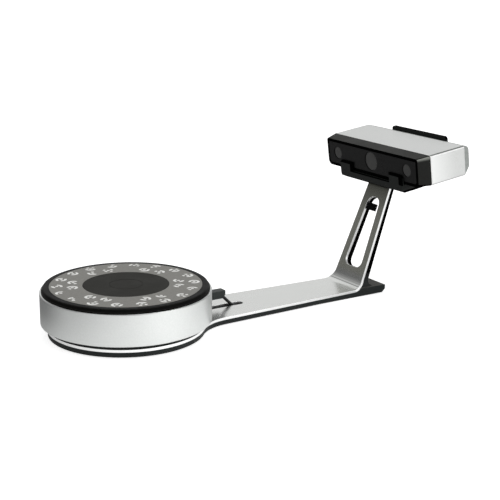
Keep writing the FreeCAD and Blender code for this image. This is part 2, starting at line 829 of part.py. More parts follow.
def turntable_base():
    flange_bottom = ring_bottom + ring_ledge
    flange_top = flange_bottom + pan_flange
    wall = plinth_radius - pan_wall
    flange = ring_radius - ring_wall - fit_gap
    points = [(0, plate_top), (plinth_radius, plate_top), (plinth_radius, flange_bottom),
              (flange, flange_bottom), (flange, flange_top), (wall, flange_top), (wall, pan_top),
              (0, pan_top)]
    pan = turned(points)
    extras = [post_rod(bush_radius + boss_wall, 0, 0, pan_top, bearing_level - bush_flange)]
    extras.append(post_rod(idler_pin_radius + boss_radius, idler_place.x, idler_place.y, pan_top,
                           gear_level - fit_gap))
    for x, y in table_screw_places():
        extras.append(post_rod(boss_radius, x, y, pan_top, plate_top + table_screw_grip + pan_floor))
    for x, y in ring_points(glide_circle, 3, 60):
        extras.append(post_rod(glide_radius + glide_post_wall, x, y, pan_top, platter_under - glide_height))
    for x, y in motor_screw_places():
        extras.append(post_rod(motor_ear_half, x, y, pan_top, motor_top))
    for x, y in board_corners():
        extras.append(post_rod(standoff_radius, x, y, pan_top, table_board_level))
    pan = joined(pan, *extras)
    bush_bottom = bearing_level - bush_length
    pan = pan.cut(post_rod(bush_radius, 0, 0, bush_bottom, bearing_level))
    pan = pan.cut(post_rod(clip_radius + 2 * running_gap, 0, 0, plate_top - overrun, bush_bottom))
    pan = pan.cut(post_rod(idler_pin_radius, idler_place.x, idler_place.y, pan_top, gear_level))
    for x, y in table_screw_places():
        pan = pan.cut(post_rod(screw_radius + bearing_gap, x, y, plate_top - overrun,
                               plate_top + table_screw_grip))
    for x, y in motor_screw_places():
        pan = pan.cut(post_rod(screw_radius + bearing_gap, x, y, motor_top - motor_screw_length,
                               motor_top + overrun))
    return pan


def motor_screw_places():
    return [(motor_place.x + side * motor_ear_reach, motor_place.y) for side in (-1, 1)]


def board_corners():
    inset = 2 * standoff_radius
    return [(x, y) for x in (table_board_end - table_board_length + inset, table_board_end - inset)
            for y in (inset - table_board_half, table_board_half - inset)]


def turntable_screws():
    seat = plate_bottom
    screws = []
    for x, y in table_screw_places():
        head = post_rod(screw_head_radius, x, y, seat - screw_head_height, seat)
        shank = post_rod(screw_radius, x, y, seat, plate_top + table_screw_grip - fit_gap)
        screws.append(head.fuse(shank))
    return Part.makeCompound(screws)


def spindle_bush():
    bottom = bearing_level - bush_length
    flange_bottom = bearing_level - bush_flange
    bore = spindle_radius + bearing_gap
    return turned([(bore, bottom), (bush_radius, bottom), (bush_radius, flange_bottom),
                   (bush_flange_radius, flange_bottom), (bush_flange_radius, bearing_level),
                   (bore, bearing_level)])


def glide_pads():
    pads = [post_rod(glide_radius, x, y, platter_under - glide_height, platter_under)
            for x, y in ring_points(glide_circle, 3, 60)]
    return Part.makeCompound(pads)


def stepper_motor():
    x, y = motor_place.x, motor_place.y
    top = motor_top
    can = post_rod(motor_radius, x, y, top - motor_height, top)
    ears = box(x - motor_ear_reach, x + motor_ear_reach, y - motor_ear_half, y + motor_ear_half,
               top, top + motor_ear_thickness)
    motor = joined(can, ears, post_rod(motor_collar_radius, x, y, top, top + motor_collar_height))
    for ex, ey in motor_screw_places():
        motor = joined(motor, post_rod(motor_ear_half, ex, ey, top, top + motor_ear_thickness))
        motor = motor.cut(post_rod(screw_radius + fit_gap, ex, ey, top - overrun, top + 2 * overrun))
    return motor.cut(post_rod(motor_shaft_radius + bearing_gap, x, y, top - motor_shaft_depth - running_gap,
                              gear_level))


def motor_screws():
    top = motor_top + motor_ear_thickness
    screws = []
    for x, y in motor_screw_places():
        head = post_rod(screw_head_radius, x, y, top, top + screw_head_height)
        screws.append(head.fuse(post_rod(screw_radius, x, y, top - motor_screw_length, top)))
    return Part.makeCompound(screws)


def idler_pin():
    x, y = idler_place.x, idler_place.y
    level = gear_top + fit_gap
    shank = post_rod(idler_pin_radius, x, y, pan_top, level)
    return joined(shank, post_rod(idler_pin_radius + idler_pin_flange, x, y, level, level + idler_pin_cap))


def driver_board():
    x0 = table_board_end - table_board_length
    top = table_board_top
    board = box(x0, table_board_end, -table_board_half, table_board_half, table_board_level, top)
    chip = box(x0 + chip_side, x0 + 2 * chip_side, -chip_side / 2, chip_side / 2, top, top + chip_height)
    inset = 2 * capacitor_radius
    capacitor = post_rod(capacitor_radius, x0 + inset, table_board_half - inset, top, top + capacitor_height)
    return joined(board, chip, capacitor)


def port_socket():
    back = math.sqrt((ring_radius - ring_wall) ** 2 - socket_half ** 2) - fit_gap
    block = box(back - socket_length, back, -socket_half, socket_half, table_board_top,
                table_board_top + socket_height)
    start = ring_radius + fit_gap - plug_nose_depth
    reach = plug_nose_height / 2 + fit_gap
    cavity = box(start, ring_radius, -plug_nose_half - fit_gap, plug_nose_half + fit_gap,
                 plug_middle - reach, plug_middle + reach)
    return block.cut(cavity)


# Gears

def involute_angle(pressure):
    return math.tan(pressure) - pressure


def gear(teeth, bore, first_angle):
    """A spur gear with involute flanks; a tooth is centred on first_angle."""
    pitch = gear_module * teeth / 2
    base = pitch * math.cos(math.radians(gear_pressure_angle))
    root = pitch - gear_dedendum * gear_module
    tip = pitch + gear_addendum * gear_module
    at_pitch = involute_angle(math.radians(gear_pressure_angle))
    half_tooth = math.pi / (2 * teeth) - gear_backlash / (4 * pitch)
    start = max(base, root)
    flank = []
    for share in (0.0, 0.5, 1.0):
        radius = start + (tip - start) * share
        pressure = math.acos(min(1.0, base / radius))
        flank.append((radius, half_tooth + at_pitch - involute_angle(pressure)))
    if root < base:
        flank.insert(0, (root, flank[0][1]))
    points = []
    for i in range(teeth):
        middle = math.radians(first_angle) + 2 * math.pi * i / teeth
        side = [(radius, middle - angle) for radius, angle in flank]
        side += [(radius, middle + angle) for radius, angle in reversed(flank)]
        points += [Vec(r * math.cos(angle), r * math.sin(angle), gear_level) for r, angle in side]
    blank = prism(Part.makePolygon(points + [points[0]]), Vec(0, 0, gear_width))
    return blank.cut(post_rod(bore, 0, 0, gear_level - overrun, gear_top + overrun))


def drive_gear():
    wheel = gear(drive_teeth, drive_gear_bore, idler_angle)
    for x, y in ring_points(gear_screw_circle, 3):
        wheel = wheel.cut(post_rod(screw_radius + fit_gap, x, y, gear_level - overrun, gear_top + overrun))
    return wheel


def idler_gear():
    half_step = 180.0 / idler_teeth
    wheel = gear(idler_teeth, idler_pin_radius + bearing_gap, idler_angle + 180 + half_step)
    wheel.translate(idler_place)
    return wheel


def motor_pinion():
    # The idler's teeth decide where the pinion's gaps lie along the line between their centres.
    idler_first = idler_angle + 180 + 180.0 / idler_teeth
    idler_step = 360.0 / idler_teeth
    offset = (pinion_angle - idler_first) / idler_step
    share = offset - math.floor(offset)
    step = 360.0 / pinion_teeth
    wheel = gear(pinion_teeth, motor_shaft_radius, pinion_angle + 180 + step / 2 + share * step)
    wheel.translate(motor_place)
    return wheel


def motor_shaft():
    bottom = motor_top - motor_shaft_depth
    return post_rod(motor_shaft_radius, motor_place.x, motor_place.y, bottom, gear_top)


def gear_screws():
    screws = []
    for x, y in ring_points(gear_screw_circle, 3):
        head = post_rod(screw_head_radius, x, y, gear_level - screw_head_height, gear_level)
        screws.append(head.fuse(post_rod(screw_radius, x, y, gear_level, platter_under - fit_gap)))
    return Part.makeCompound(screws)


# Platter

def platter():
    skirt_outer = ring_radius - ring_wall - platter_skirt_gap
    skirt_inner = skirt_outer - platter_skirt
    skirt_bottom = platter_bottom - platter_skirt_depth
    rim_inner = marker_outer + fit_gap
    points = [(0, bearing_level), (bush_flange_radius, bearing_level), (bush_flange_radius, platter_under),
              (gear_seat_inner, platter_under), (gear_seat_inner, gear_top),
              (gear_seat_outer, gear_top), (gear_seat_outer, platter_under),
              (skirt_inner, platter_under), (skirt_inner, skirt_bottom), (skirt_outer, skirt_bottom),
              (skirt_outer, platter_bottom), (platter_radius, platter_bottom),
              (platter_radius, platter_bottom + platter_lip),
              (platter_radius - platter_step_inset, platter_top - chamfer_small),
              (platter_radius - platter_top_inset, platter_top),
              (rim_inner, platter_top), (rim_inner, deck_top), (0, deck_top)]
    disc = turned(points)
    disc = disc.cut(post_rod(spindle_radius, 0, 0, bearing_level - overrun, platter_top))
    disc = disc.cut(post_rod(spindle_head_radius + fit_gap, 0, 0, deck_top - spindle_head_height,
                             platter_top))
    ribs = []
    for i in range(rib_count):
        rib = box(gear_seat_outer - fit_gap, glide_circle - 2 * glide_radius, -rib_thickness / 2,
                  rib_thickness / 2, platter_under - rib_depth, platter_under + fit_gap)
        rib.rotate(Vec(0, 0, 0), AXIS_Z, 360 * (i + 0.5) / rib_count)
        ribs.append(rib)
    disc = joined(disc, *ribs)
    for x, y in ring_points(gear_screw_circle, 3):
        disc = disc.cut(post_rod(screw_radius + bearing_gap, x, y, gear_level, platter_under))
    return disc


def marker_ring():
    return tube(marker_outer, marker_inner + fit_gap, 0, 0, deck_top, platter_top)


def centre_pad():
    pad = post_rod(marker_inner, 0, 0, deck_top, platter_top)
    half = groove_width / 2
    groove = tube(groove_radius + half, groove_radius - half, 0, 0, platter_top - groove_depth,
                  platter_top + overrun)
    return pad.cut(groove)


def platter_spindle():
    groove_top = bearing_level - bush_length - running_gap
    shank = post_rod(spindle_radius, 0, 0, groove_top - 2 * clip_thickness, deck_top)
    head = post_rod(spindle_head_radius, 0, 0, deck_top - spindle_head_height, deck_top)
    spindle = joined(shank, head)
    groove = tube(spindle_radius + overrun, spindle_radius - clip_groove, 0, 0,
                  groove_top - clip_thickness, groove_top)
    return spindle.cut(groove)


def spindle_clip():
    top = bearing_level - bush_length - running_gap
    clip = tube(clip_radius, spindle_radius - clip_groove, 0, 0, top - clip_thickness, top)
    return clip.cut(box(0, clip_radius + overrun, -clip_mouth, clip_mouth, top - 2 * clip_thickness,
                        top + overrun))


# Scanner head

def head_outline(inset, a):
    return panel_outline(head_half - inset, -head_height + inset, -inset,
                         max(sleeve_corner - inset, chamfer_small), a)


def head_sleeve():
    shell = prism(head_outline(0, 0), Vec(sleeve_depth, 0, 0))
    bore = prism(head_outline(sleeve_wall, -overrun), Vec(sleeve_depth + 2 * overrun, 0, 0))
    hollow = shell.cut(bore)
    start = Vec(sleeve_depth - screw_port_length, 0, 0)
    for y, b in screw_port_places():
        port = rod(screw_port_radius, start + Vec(0, y, b), Vec(sleeve_depth, y, b))
        hollow = hollow.fuse(port.common(shell))
    hollow = hollow.removeSplitter()
    for y, b in screw_port_places():
        hollow = hollow.cut(rod(screw_radius + bearing_gap, Vec(sleeve_depth - cap_screw_grip, y, b),
                                Vec(sleeve_depth + overrun, y, b)))
    return hollow.cut(post_rod(insert_radius + fit_gap, insert_a, 0, -head_height - overrun,
                               -head_height + 2 * sleeve_wall))


def screw_port_places():
    high = -sleeve_wall - screw_port_radius + chamfer_small
    low = -head_height - high
    return [(y, b) for y in (-screw_port_y, screw_port_y) for b in (low, high)]


def bezel_outline(inset, a):
    """The bezel's outline, which tapers from the sleeve to the front."""
    share = -a / bezel_depth
    half = head_half + (bezel_front_width - head_width) / 2 * share - inset
    top = -bezel_top_drop * share - inset
    bottom = -head_height + bezel_bottom_rise * share + inset
    radius = sleeve_corner + (bezel_top_corner - sleeve_corner) * share - inset
    low_radius = sleeve_corner + (bezel_low_corner - sleeve_corner) * share - inset
    return panel_outline(half, bottom, top, max(radius, chamfer_small), a, max(low_radius, chamfer_small))


def tapered(a0, a1, inset):
    return Part.makeLoft([bezel_outline(inset, a0), bezel_outline(inset, a1)], True, True)


def front_block(inset, a0, a1):
    """A straight block with the outline of the bezel's front face, less an inset."""
    half = bezel_front_width / 2 - inset
    bottom = -head_height + bezel_bottom_rise + inset
    return panel_block(half, bottom, -bezel_top_drop - inset, max(bezel_top_corner - inset, chamfer_small),
                       a0, a1, max(bezel_low_corner - inset, chamfer_small))


def front_bezel():
    front = -bezel_depth
    shell = tapered(front, 0, 0).cut(tapered(front + bezel_front_wall, overrun, bezel_wall))
    tongue_outer = prism(head_outline(sleeve_wall + fit_gap, 0), Vec(bezel_tongue, 0, 0))
    tongue_inner = prism(head_outline(sleeve_wall + bezel_wall, -overrun),
                         Vec(bezel_tongue + 2 * overrun, 0, 0))
    bezel = joined(shell, tongue_outer.cut(tongue_inner))
    bezel = bezel.cut(front_block(panel_margin, front - overrun, panel_back))
    bezel = bezel.cut(front_block(panel_margin + panel_ledge, front - overrun, front + 2 * bezel_front_wall))
    for y, b in bar_screw_places():
        start = Vec(front + bezel_front_wall, y, b)
        bezel = bezel.fuse(rod(bar_boss_radius, start, Vec(bezel_tongue, y, b)))
    bezel = bezel.removeSplitter()
    for y, b in bar_screw_places():
        bezel = bezel.cut(rod(screw_radius + bearing_gap, Vec(bezel_tongue - cap_screw_grip, y, b),
                              Vec(bezel_tongue + overrun, y, b)))
    return bezel


def bar_screw_places():
    low = -head_height + bar_margin + bar_screw_inset
    high = -bar_margin - bar_screw_inset
    return [(y, b) for y in (-bar_screw_y, bar_screw_y) for b in (low, high)]


def front_panel():
    panel = front_block(panel_margin + fit_gap, panel_front, panel_back)
    for y, radius in window_places():
        panel = panel.cut(head_rod(radius, y, panel_front - overrun, window_front + window_thickness))
        panel = panel.cut(head_rod(radius - window_seat, y, panel_front, panel_back + overrun))
    return panel


def head_rod(radius, y, a0, a1, level=window_level):
    """A cylinder along the head's depth, at a level below its top."""
    return rod(radius, Vec(a0, y, -level), Vec(a1, y, -level))


def window_places():
    return [(-camera_spread, camera_window_radius), (0, projector_window_radius),
            (camera_spread, camera_window_radius)]


def window_disc(y, radius):
    return head_rod(radius - fit_gap, y, window_front, window_front + window_thickness)


def camera_windows():
    discs = [window_disc(y, camera_window_radius) for y in (-camera_spread, camera_spread)]
    return Part.makeCompound(discs)


def projector_window():
    return window_disc(0, projector_window_radius)


def optics_bar():
    half = head_half - bar_side_margin
    bar = box(bezel_tongue, bar_back, -half, half, -head_height + bar_margin, -bar_margin)
    for y, radius in ((-camera_spread, camera_barrel_radius), (0, projector_barrel_radius),
                      (camera_spread, camera_barrel_radius)):
        bar = bar.cut(head_rod(radius + fit_gap, y, bezel_tongue - overrun, bar_back + overrun))
    for y, b in bar_screw_places():
        bar = bar.cut(head_rod(screw_radius + fit_gap, y, bezel_tongue - overrun, bar_back + overrun, -b))
    return bar


def bar_screws():
    screws = []
    for y, b in bar_screw_places():
        head = head_rod(screw_head_radius, y, bar_back, bar_back + screw_head_height, -b)
        screws.append(head.fuse(head_rod(screw_radius, y, bar_back - cap_screw_grip, bar_back, -b)))
    return Part.makeCompound(screws)


def lens_barrel(y, radius):
    """A barrel with a dished glass at its front."""
    front = panel_back + lens_gap
    dish_radius = 2 * radius
    dish_centre = front - dish_radius + lens_dish_share * radius
    dish = Part.makeSphere(dish_radius, Vec(dish_centre, y, -window_level))
    return head_rod(radius, y, front, bar_back).cut(dish)


def camera_block(y):
    half = camera_body / 2
    return box(bar_back, bar_back + camera_body_depth, y - half, y + half, -window_level - half,
               -window_level + half)


def projector_block():
    half = projector_body_height / 2
    back = bar_back + projector_body_depth
    body = box(bar_back, back, -projector_body_half, projector_body_half, -window_level - half,
               -window_level + half)
    pitch = 2 * projector_body_half / (fin_gap_count + 1)
    for i in range(fin_gap_count):
        y = (i + 1) * pitch - projector_body_half
        body = body.cut(box(back - fin_depth, back + overrun, y - fin_gap_half, y + fin_gap_half,
                            -window_level - half + fin_margin, -window_level + half - fin_margin))
    return body


def main_board():
    board = box(head_board_a - board_thickness, head_board_a, -head_board_half, head_board_half,
                -head_height + head_board_margin, -head_board_margin)
    front = head_board_a - board_thickness
    half = head_chip_side / 2
    chip = box(front - head_chip_height, front, head_chip_y - half, head_chip_y + half,
               -window_level - half, -window_level + half)
    return joined(board, chip)


def cap_outline(share, wall, a):
    """The rear cover's outline, a share of the way from the sleeve to its outer face."""
    half = head_half - rear_cap_side_inset * share - wall
    bottom = -head_height + rear_cap_low_inset * share + wall
    top = -rear_cap_top_inset * share - wall
    radius = sleeve_corner + (rear_cap_corner - sleeve_corner) * share - wall
    return panel_outline(half, bottom, top, max(radius, chamfer_small), a)


def rear_cover():
    a0 = sleeve_depth
    outside = head_rear + overrun
    block = Part.makeLoft([cap_outline(0, 0, a0), cap_outline(1, 0, head_rear)], True, True)
    inside_share = (rear_cap_depth - rear_cap_wall) / rear_cap_depth
    cavity = Part.makeLoft([cap_outline(-overrun / rear_cap_depth, rear_cap_wall, a0 - overrun),
                            cap_outline(inside_share, rear_cap_wall, rear_wall_inside)], True, True)
    cover = block.cut(cavity)
    for y, b in screw_port_places():
        cover = cover.fuse(head_rod(screw_port_radius, y, a0, rear_wall_inside + overrun, -b).common(block))
    for y, b in board_post_places():
        cover = cover.fuse(head_rod(standoff_radius, y, head_board_a, rear_wall_inside, -b))
    cover = cover.removeSplitter()
    cutters = vent_cutters(fan_y) + vent_cutters(side_vent_y) + vent_cutters(-side_vent_y)
    for y, b in screw_port_places():
        cutters.append(head_rod(screw_radius + fit_gap, y, a0 - overrun, outside, -b))
        cutters.append(head_rod(screw_head_radius + fit_gap, y, cap_screw_seat, outside, -b))
    cutters.append(head_rod(button_radius + running_gap, button_y, rear_wall_inside - overrun, outside,
                            port_level))
    for y, half in ((jack_y, jack_half), (usb_y, usb_half), (table_port_y, table_port_half)):
        cutters.append(port_box(y, half, fit_gap, rear_wall_inside - overrun, outside))
    for cutter in cutters:
        cover = cover.cut(cutter)
    return cover


def board_post_places():
    margin = head_board_margin + board_post_margin
    return [(y, b) for y in (-board_post_y, board_post_y) for b in (-head_height + margin, -margin)]


def vent_cutters(centre_y):
    cutters = []
    for i in range(vent_count):
        y = centre_y + (i - (vent_count - 1) / 2) * vent_pitch
        cutters.append(port_box(y, (vent_width / 2, vent_half_height), 0, rear_wall_inside - overrun,
                                head_rear + overrun))
    return cutters


def port_box(y, half, gap, a0, a1):
    """A box at the ports' level, from its half width and half height."""
    half_y, half_b = half
    return box(a0, a1, y - half_y - gap, y + half_y + gap,
               -port_level - half_b - gap, -port_level + half_b + gap)


def power_jack():
    block = port_box(jack_y, jack_half, 0, head_board_a, port_face)
    cavity = head_rod(jack_bore, jack_y, port_face - port_depth, port_face + overrun, port_level)
    pin = head_rod(jack_pin_radius, jack_y, port_face - port_depth, port_face - overrun, port_level)
    return block.cut(cavity).fuse(pin)


def usb_socket():
    block = port_box(usb_y, usb_half, 0, head_board_a, port_face)
    cavity = port_box(usb_y, usb_half, -usb_wall, port_face - port_depth, port_face + overrun)
    tongue_half = (usb_tongue_half_width, usb_tongue_half_height)
    tongue = port_box(usb_y, tongue_half, 0, port_face - port_depth, port_face - overrun)
    return block.cut(cavity).fuse(tongue)


def turntable_port():
    block = port_box(table_port_y, table_port_half, 0, head_board_a, port_face)
    return block.cut(port_box(table_port_y, (plug_nose_half, plug_nose_height / 2), fit_gap,
                              port_face - plug_nose_depth, port_face + overrun))


def power_button():
    flange = head_rod(button_radius + button_flange, button_y, button_back,
                      button_back + button_flange_height, port_level)
    cap = head_rod(button_radius, button_y, button_back, head_rear - button_sunk, port_level)
    return joined(flange, cap.makeFillet(button_round, [cap.Edges[0]]))


def button_switch():
    face = button_back - button_travel - fit_gap
    return port_box(button_y, (switch_half, switch_half), 0, head_board_a, face)


def fan_frame():
    half = fan_size / 2
    web_back = fan_front + fan_web
    frame = port_box(fan_y, (half, half), 0, fan_front, rear_wall_inside)
    frame = frame.cut(head_rod(fan_hole_radius, fan_y, fan_front - overrun, rear_wall_inside + overrun,
                               port_level))
    spider = head_rod(fan_hub_radius, fan_y, fan_front, web_back, port_level)
    for angle in (45, 135):
        spoke = port_box(fan_y, (half, fan_spoke_half), 0, fan_front, web_back)
        spoke.rotate(Vec(fan_front, fan_y, -port_level), AXIS_X, angle)
        spider = spider.fuse(spoke)
    axle = head_rod(fan_axle_radius, fan_y, fan_front, rear_wall_inside - fan_web, port_level)
    return joined(frame, spider, axle)


def fan_rotor():
    a0 = fan_front + fan_web + running_gap
    a1 = rear_wall_inside - fan_blade_gap
    rotor = head_rod(fan_hub_radius, fan_y, a0, a1, port_level)
    for i in range(fan_blades):
        blade = box(a0, a1, fan_y - fan_blade_half, fan_y + fan_blade_half,
                    -port_level + fan_hub_radius - overrun, -port_level + fan_hole_radius - fan_blade_gap)
        blade.rotate(Vec((a0 + a1) / 2, fan_y, -port_level), AXIS_Z, fan_blade_pitch)
        blade = blade.common(head_rod(fan_hole_radius, fan_y, a0, a1, port_level))
        blade.rotate(Vec(a0, fan_y, -port_level), AXIS_X, 360.0 * i / fan_blades)
        rotor = rotor.fuse(blade)
    rotor = rotor.removeSplitter()
    return rotor.cut(head_rod(fan_axle_radius + bearing_gap, fan_y, a0 - overrun,
                              rear_wall_inside - fan_web + running_gap, port_level))


def rear_screws():
    screws = []
    for y, b in screw_port_places():
        head = head_rod(screw_head_radius, y, cap_screw_seat, cap_screw_seat + screw_head_height, -b)
        shank = head_rod(screw_radius, y, sleeve_depth - cap_screw_grip + fit_gap, cap_screw_seat, -b)
        screws.append(head.fuse(shank))
    return Part.makeCompound(screws)


def tripod_insert():
    bottom = -head_height
    body = post_rod(insert_radius, insert_a, 0, bottom, bottom + insert_length)
    flange = post_rod(insert_flange_radius, insert_a, 0, bottom + sleeve_wall,
                      bottom + sleeve_wall + insert_flange)
    bore = post_rod(insert_bore, insert_a, 0, bottom - overrun, bottom + insert_length + overrun)
    return joined(body, flange).cut(bore)


# Cradle

def cradle():
    front = -bezel_depth - running_gap - lip_thickness
    frame_front = head_rear + frame_gap
    rear = frame_front + frame_thickness
    lip_bottom = -head_height - lip_face + bezel_bottom_rise
    belly = tray_level - cradle_depth + lip_height
    points = [Vec(front, 0, tray_level), Vec(front, 0, lip_bottom),
              Vec(front + cradle_front_slope, 0, belly), Vec(cradle_flat_end, 0, belly),
              Vec(rear, 0, tray_level - cradle_rear_depth), Vec(rear, 0, tray_level)]
    radii = [0, cradle_lip_corner, belly_front_radius, belly_rear_radius, cradle_back_corner, 0]
    wire = rounded([p - Vec(0, cradle_half, 0) for p in points], radii)
    tray = prism(wire, Vec(0, 2 * cradle_half, 0))
    rounding = panel_outline(cradle_half, belly, tray_level + 2 * cradle_depth, cradle_side_radius,
                             front - overrun)
    tray = tray.common(prism(rounding, Vec(rear - front + 2 * overrun, 0, 0)))
    inside = front + lip_thickness
    lip = box(front, inside, -cradle_half, cradle_half, tray_level - overrun, tray_level + lip_height)
    solid = tray.fuse(lip)
    for side in (-1, 1):
        outer = side * cradle_half
        inner = side * (cradle_half - hook_width)
        top = tray_level + hook_height
        hook_points = [Vec(front, inner, tray_level - overrun), Vec(front, outer, tray_level - overrun),
                       Vec(front, outer, top - hook_chamfer), Vec(front, outer - side * hook_chamfer, top),
                       Vec(front, inner, top)]
        hook = rounded(hook_points, [0, 0, hook_corner, hook_corner, hook_corner])
        solid = solid.fuse(prism(hook, Vec(lip_thickness, 0, 0)))
    back = panel_block(frame_half, tray_level - cradle_rear_depth + chamfer_small, frame_rise, frame_corner,
                       frame_front, rear)
    solid = solid.fuse(back).removeSplitter()
    window = panel_block(frame_half - frame_side_rail, frame_low_rail - head_height,
                         frame_rise - frame_top_rail, frame_window_corner, frame_front - overrun,
                         rear + overrun)
    solid = solid.cut(window)
    for block in pad_blocks():
        solid = solid.cut(block)
    bosses = cradle_screw_hole(cradle_boss_radius, plate_thickness, cradle_screw_seat)
    solid = placed(solid, head_place).fuse(bosses).removeSplitter()
    solid = solid.cut(stand_plate_blank()).cut(liner_blank())
    solid = solid.cut(cradle_screw_hole(screw_radius + fit_gap, 0, 3 * plate_thickness + 2 * liner_post_low))
    return solid.cut(cradle_screw_hole(screw_head_radius + fit_gap, cradle_screw_seat,
                                       cradle_screw_seat + 2 * cradle_depth))


def pad_blocks():
    top = -head_height
    blocks = []
    for a in (pad_front_setback, sleeve_depth - pad_rear_setback):
        for y in (-pad_y, pad_y):
            blocks.append(box(a - pad_length / 2, a + pad_length / 2, y - pad_width / 2, y + pad_width / 2,
                              top - pad_thickness, top))
    return blocks


def cradle_pads():
    return placed(Part.makeCompound(pad_blocks()), head_place)


def in_head(shape):
    return placed(shape, head_place)


def export(name, shape):
    shape.exportStep(f"parts/{name}.step")
    print(f"{name:18s} solids {len(shape.Solids):2d} valid {shape.isValid()} volume {shape.Volume:10.1f}")


os.makedirs("parts", exist_ok=True)

stand_nodes = {
    "stand_plate": stand_plate, "stand_liner": stand_liner, "liner_screws": liner_screws,
    "turntable_lead": turntable_lead, "lead_plug": lead_plug, "parked_plug": parked_plug,
    "cradle": cradle, "cradle_pads": cradle_pads, "cradle_screws": cradle_screws,
    "turntable_ring": turntable_ring, "turntable_base": turntable_base, "turntable_screws": turntable_screws,
    "spindle_bush": spindle_bush, "glide_pads": glide_pads, "stepper_motor": stepper_motor,
    "motor_screws": motor_screws, "idler_pin": idler_pin, "driver_board": driver_board,
    "port_socket": port_socket, "platter": platter, "marker_ring": marker_ring, "centre_pad": centre_pad,
    "drive_gear": drive_gear, "gear_screws": gear_screws, "platter_spindle": platter_spindle,
    "spindle_clip": spindle_clip, "idler_gear": idler_gear, "motor_pinion": motor_pinion,
    "motor_shaft": motor_shaft,
}
head_nodes = {
    "head_sleeve": head_sleeve, "front_bezel": front_bezel, "front_panel": front_panel,
    "camera_windows": camera_windows, "projector_window": projector_window, "optics_bar": optics_bar,
    "bar_screws": bar_screws, "projector_body": projector_block, "main_board": main_board,
    "rear_cover": rear_cover, "rear_screws": rear_screws, "power_jack": power_jack,
    "usb_socket": usb_socket, "turntable_port": turntable_port, "power_button": power_button,
    "button_switch": button_switch, "fan_frame": fan_frame, "fan_rotor": fan_rotor,
    "tripod_insert": tripod_insert,
}
for node, make in stand_nodes.items():
    export(node, make())
for node, make in head_nodes.items():
    export(node, in_head(make()))
for side, y in (("left", camera_spread), ("right", -camera_spread)):
    export(f"camera_{side}", in_head(camera_block(y)))
    export(f"camera_lens_{side}", in_head(lens_barrel(y, camera_barrel_radius)))
export("projector_lens", in_head(lens_barrel(0, projector_barrel_radius)))
export("base_foot", post_rod(base_foot_radius, 0, 0, 0, foot_proud + foot_recess))
export("rear_foot_pad", rear_pad_block(0, foot_proud + foot_recess))
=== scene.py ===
import json
import math

import bmesh
import bpy
from mathutils import Matrix, Vector
from mathutils.bvhtree import BVHTree


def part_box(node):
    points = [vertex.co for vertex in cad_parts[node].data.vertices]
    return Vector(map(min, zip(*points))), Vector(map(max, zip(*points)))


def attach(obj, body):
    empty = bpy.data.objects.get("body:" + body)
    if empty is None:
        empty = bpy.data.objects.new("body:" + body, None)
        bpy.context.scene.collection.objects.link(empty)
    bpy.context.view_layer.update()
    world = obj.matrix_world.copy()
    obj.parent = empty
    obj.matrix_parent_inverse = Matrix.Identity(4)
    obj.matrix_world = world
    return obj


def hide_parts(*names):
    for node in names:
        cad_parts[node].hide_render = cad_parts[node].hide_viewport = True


# Looks for a desktop 3D scanner: turntable, bent aluminium stand and scanner head.
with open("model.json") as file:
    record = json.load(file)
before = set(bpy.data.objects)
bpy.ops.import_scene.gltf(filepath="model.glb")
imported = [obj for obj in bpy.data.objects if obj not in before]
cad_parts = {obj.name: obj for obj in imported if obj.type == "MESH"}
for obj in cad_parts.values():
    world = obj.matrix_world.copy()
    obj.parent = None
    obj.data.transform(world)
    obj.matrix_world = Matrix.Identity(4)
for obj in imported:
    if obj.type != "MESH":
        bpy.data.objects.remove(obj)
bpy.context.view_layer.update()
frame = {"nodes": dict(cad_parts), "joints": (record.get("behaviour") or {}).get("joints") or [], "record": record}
print("frame loaded")

mm = 0.001
slotOf = {part["node"]: part["material_slot"] for part in frame["record"]["subparts"]}
bodyOf = {node: body for body, nodes in frame["record"]["behaviour"]["bodies"].items() for node in nodes}
jointOf = {joint["name"]: joint for joint in frame["joints"]}


def fromScreen(red, green, blue):
    def channel(value):
        share = value / 255
        return share / 12.92 if share <= 0.04045 else ((share + 0.055) / 1.055) ** 2.4
    return (channel(red), channel(green), channel(blue), 1.0)


# The head's own frame: a runs back from the sleeve's front edge, y across, b up from its top
def headMatrix():
    up = Vector(jointOf["head_lift"]["axis"]).normalized()
    back = Vector((0, 1, 0)).cross(up)
    corners = [v.co for v in frame["nodes"]["head_sleeve"].data.vertices]
    origin = back * min(c.dot(back) for c in corners) + up * max(c.dot(up) for c in corners)
    turn = Matrix((back, Vector((0, 1, 0)), up)).transposed().to_4x4()
    return Matrix.Translation(origin) @ turn


headPlace = headMatrix()
toHead = headPlace.inverted()


# Node tools

def addNode(tree, kind, **settings):
    node = tree.nodes.new(kind)
    for name, value in settings.items():
        setattr(node, name, value)
    return node


def feed(tree, value, socket):
    if isinstance(value, bpy.types.NodeSocket):
        tree.links.new(value, socket)
    else:
        socket.default_value = value


def setInputs(node, values):
    for name, value in values.items():
        node.inputs[name].default_value = value


def maths(tree, operation, first, second=0.0, third=None, clamp=False):
    node = addNode(tree, "ShaderNodeMath", operation=operation, use_clamp=clamp)
    feed(tree, first, node.inputs[0])
    feed(tree, second, node.inputs[1])
    if third is not None:
        feed(tree, third, node.inputs[2])
    return node.outputs[0]


def ramp(tree, value, low, high, lowOut=0.0, highOut=1.0, smooth=True):
    node = addNode(tree, "ShaderNodeMapRange", interpolation_type="SMOOTHSTEP" if smooth else "LINEAR")
    feed(tree, value, node.inputs["Value"])
    for name, number in (("From Min", low), ("From Max", high), ("To Min", lowOut), ("To Max", highOut)):
        feed(tree, number, node.inputs[name])
    return node.outputs["Result"]


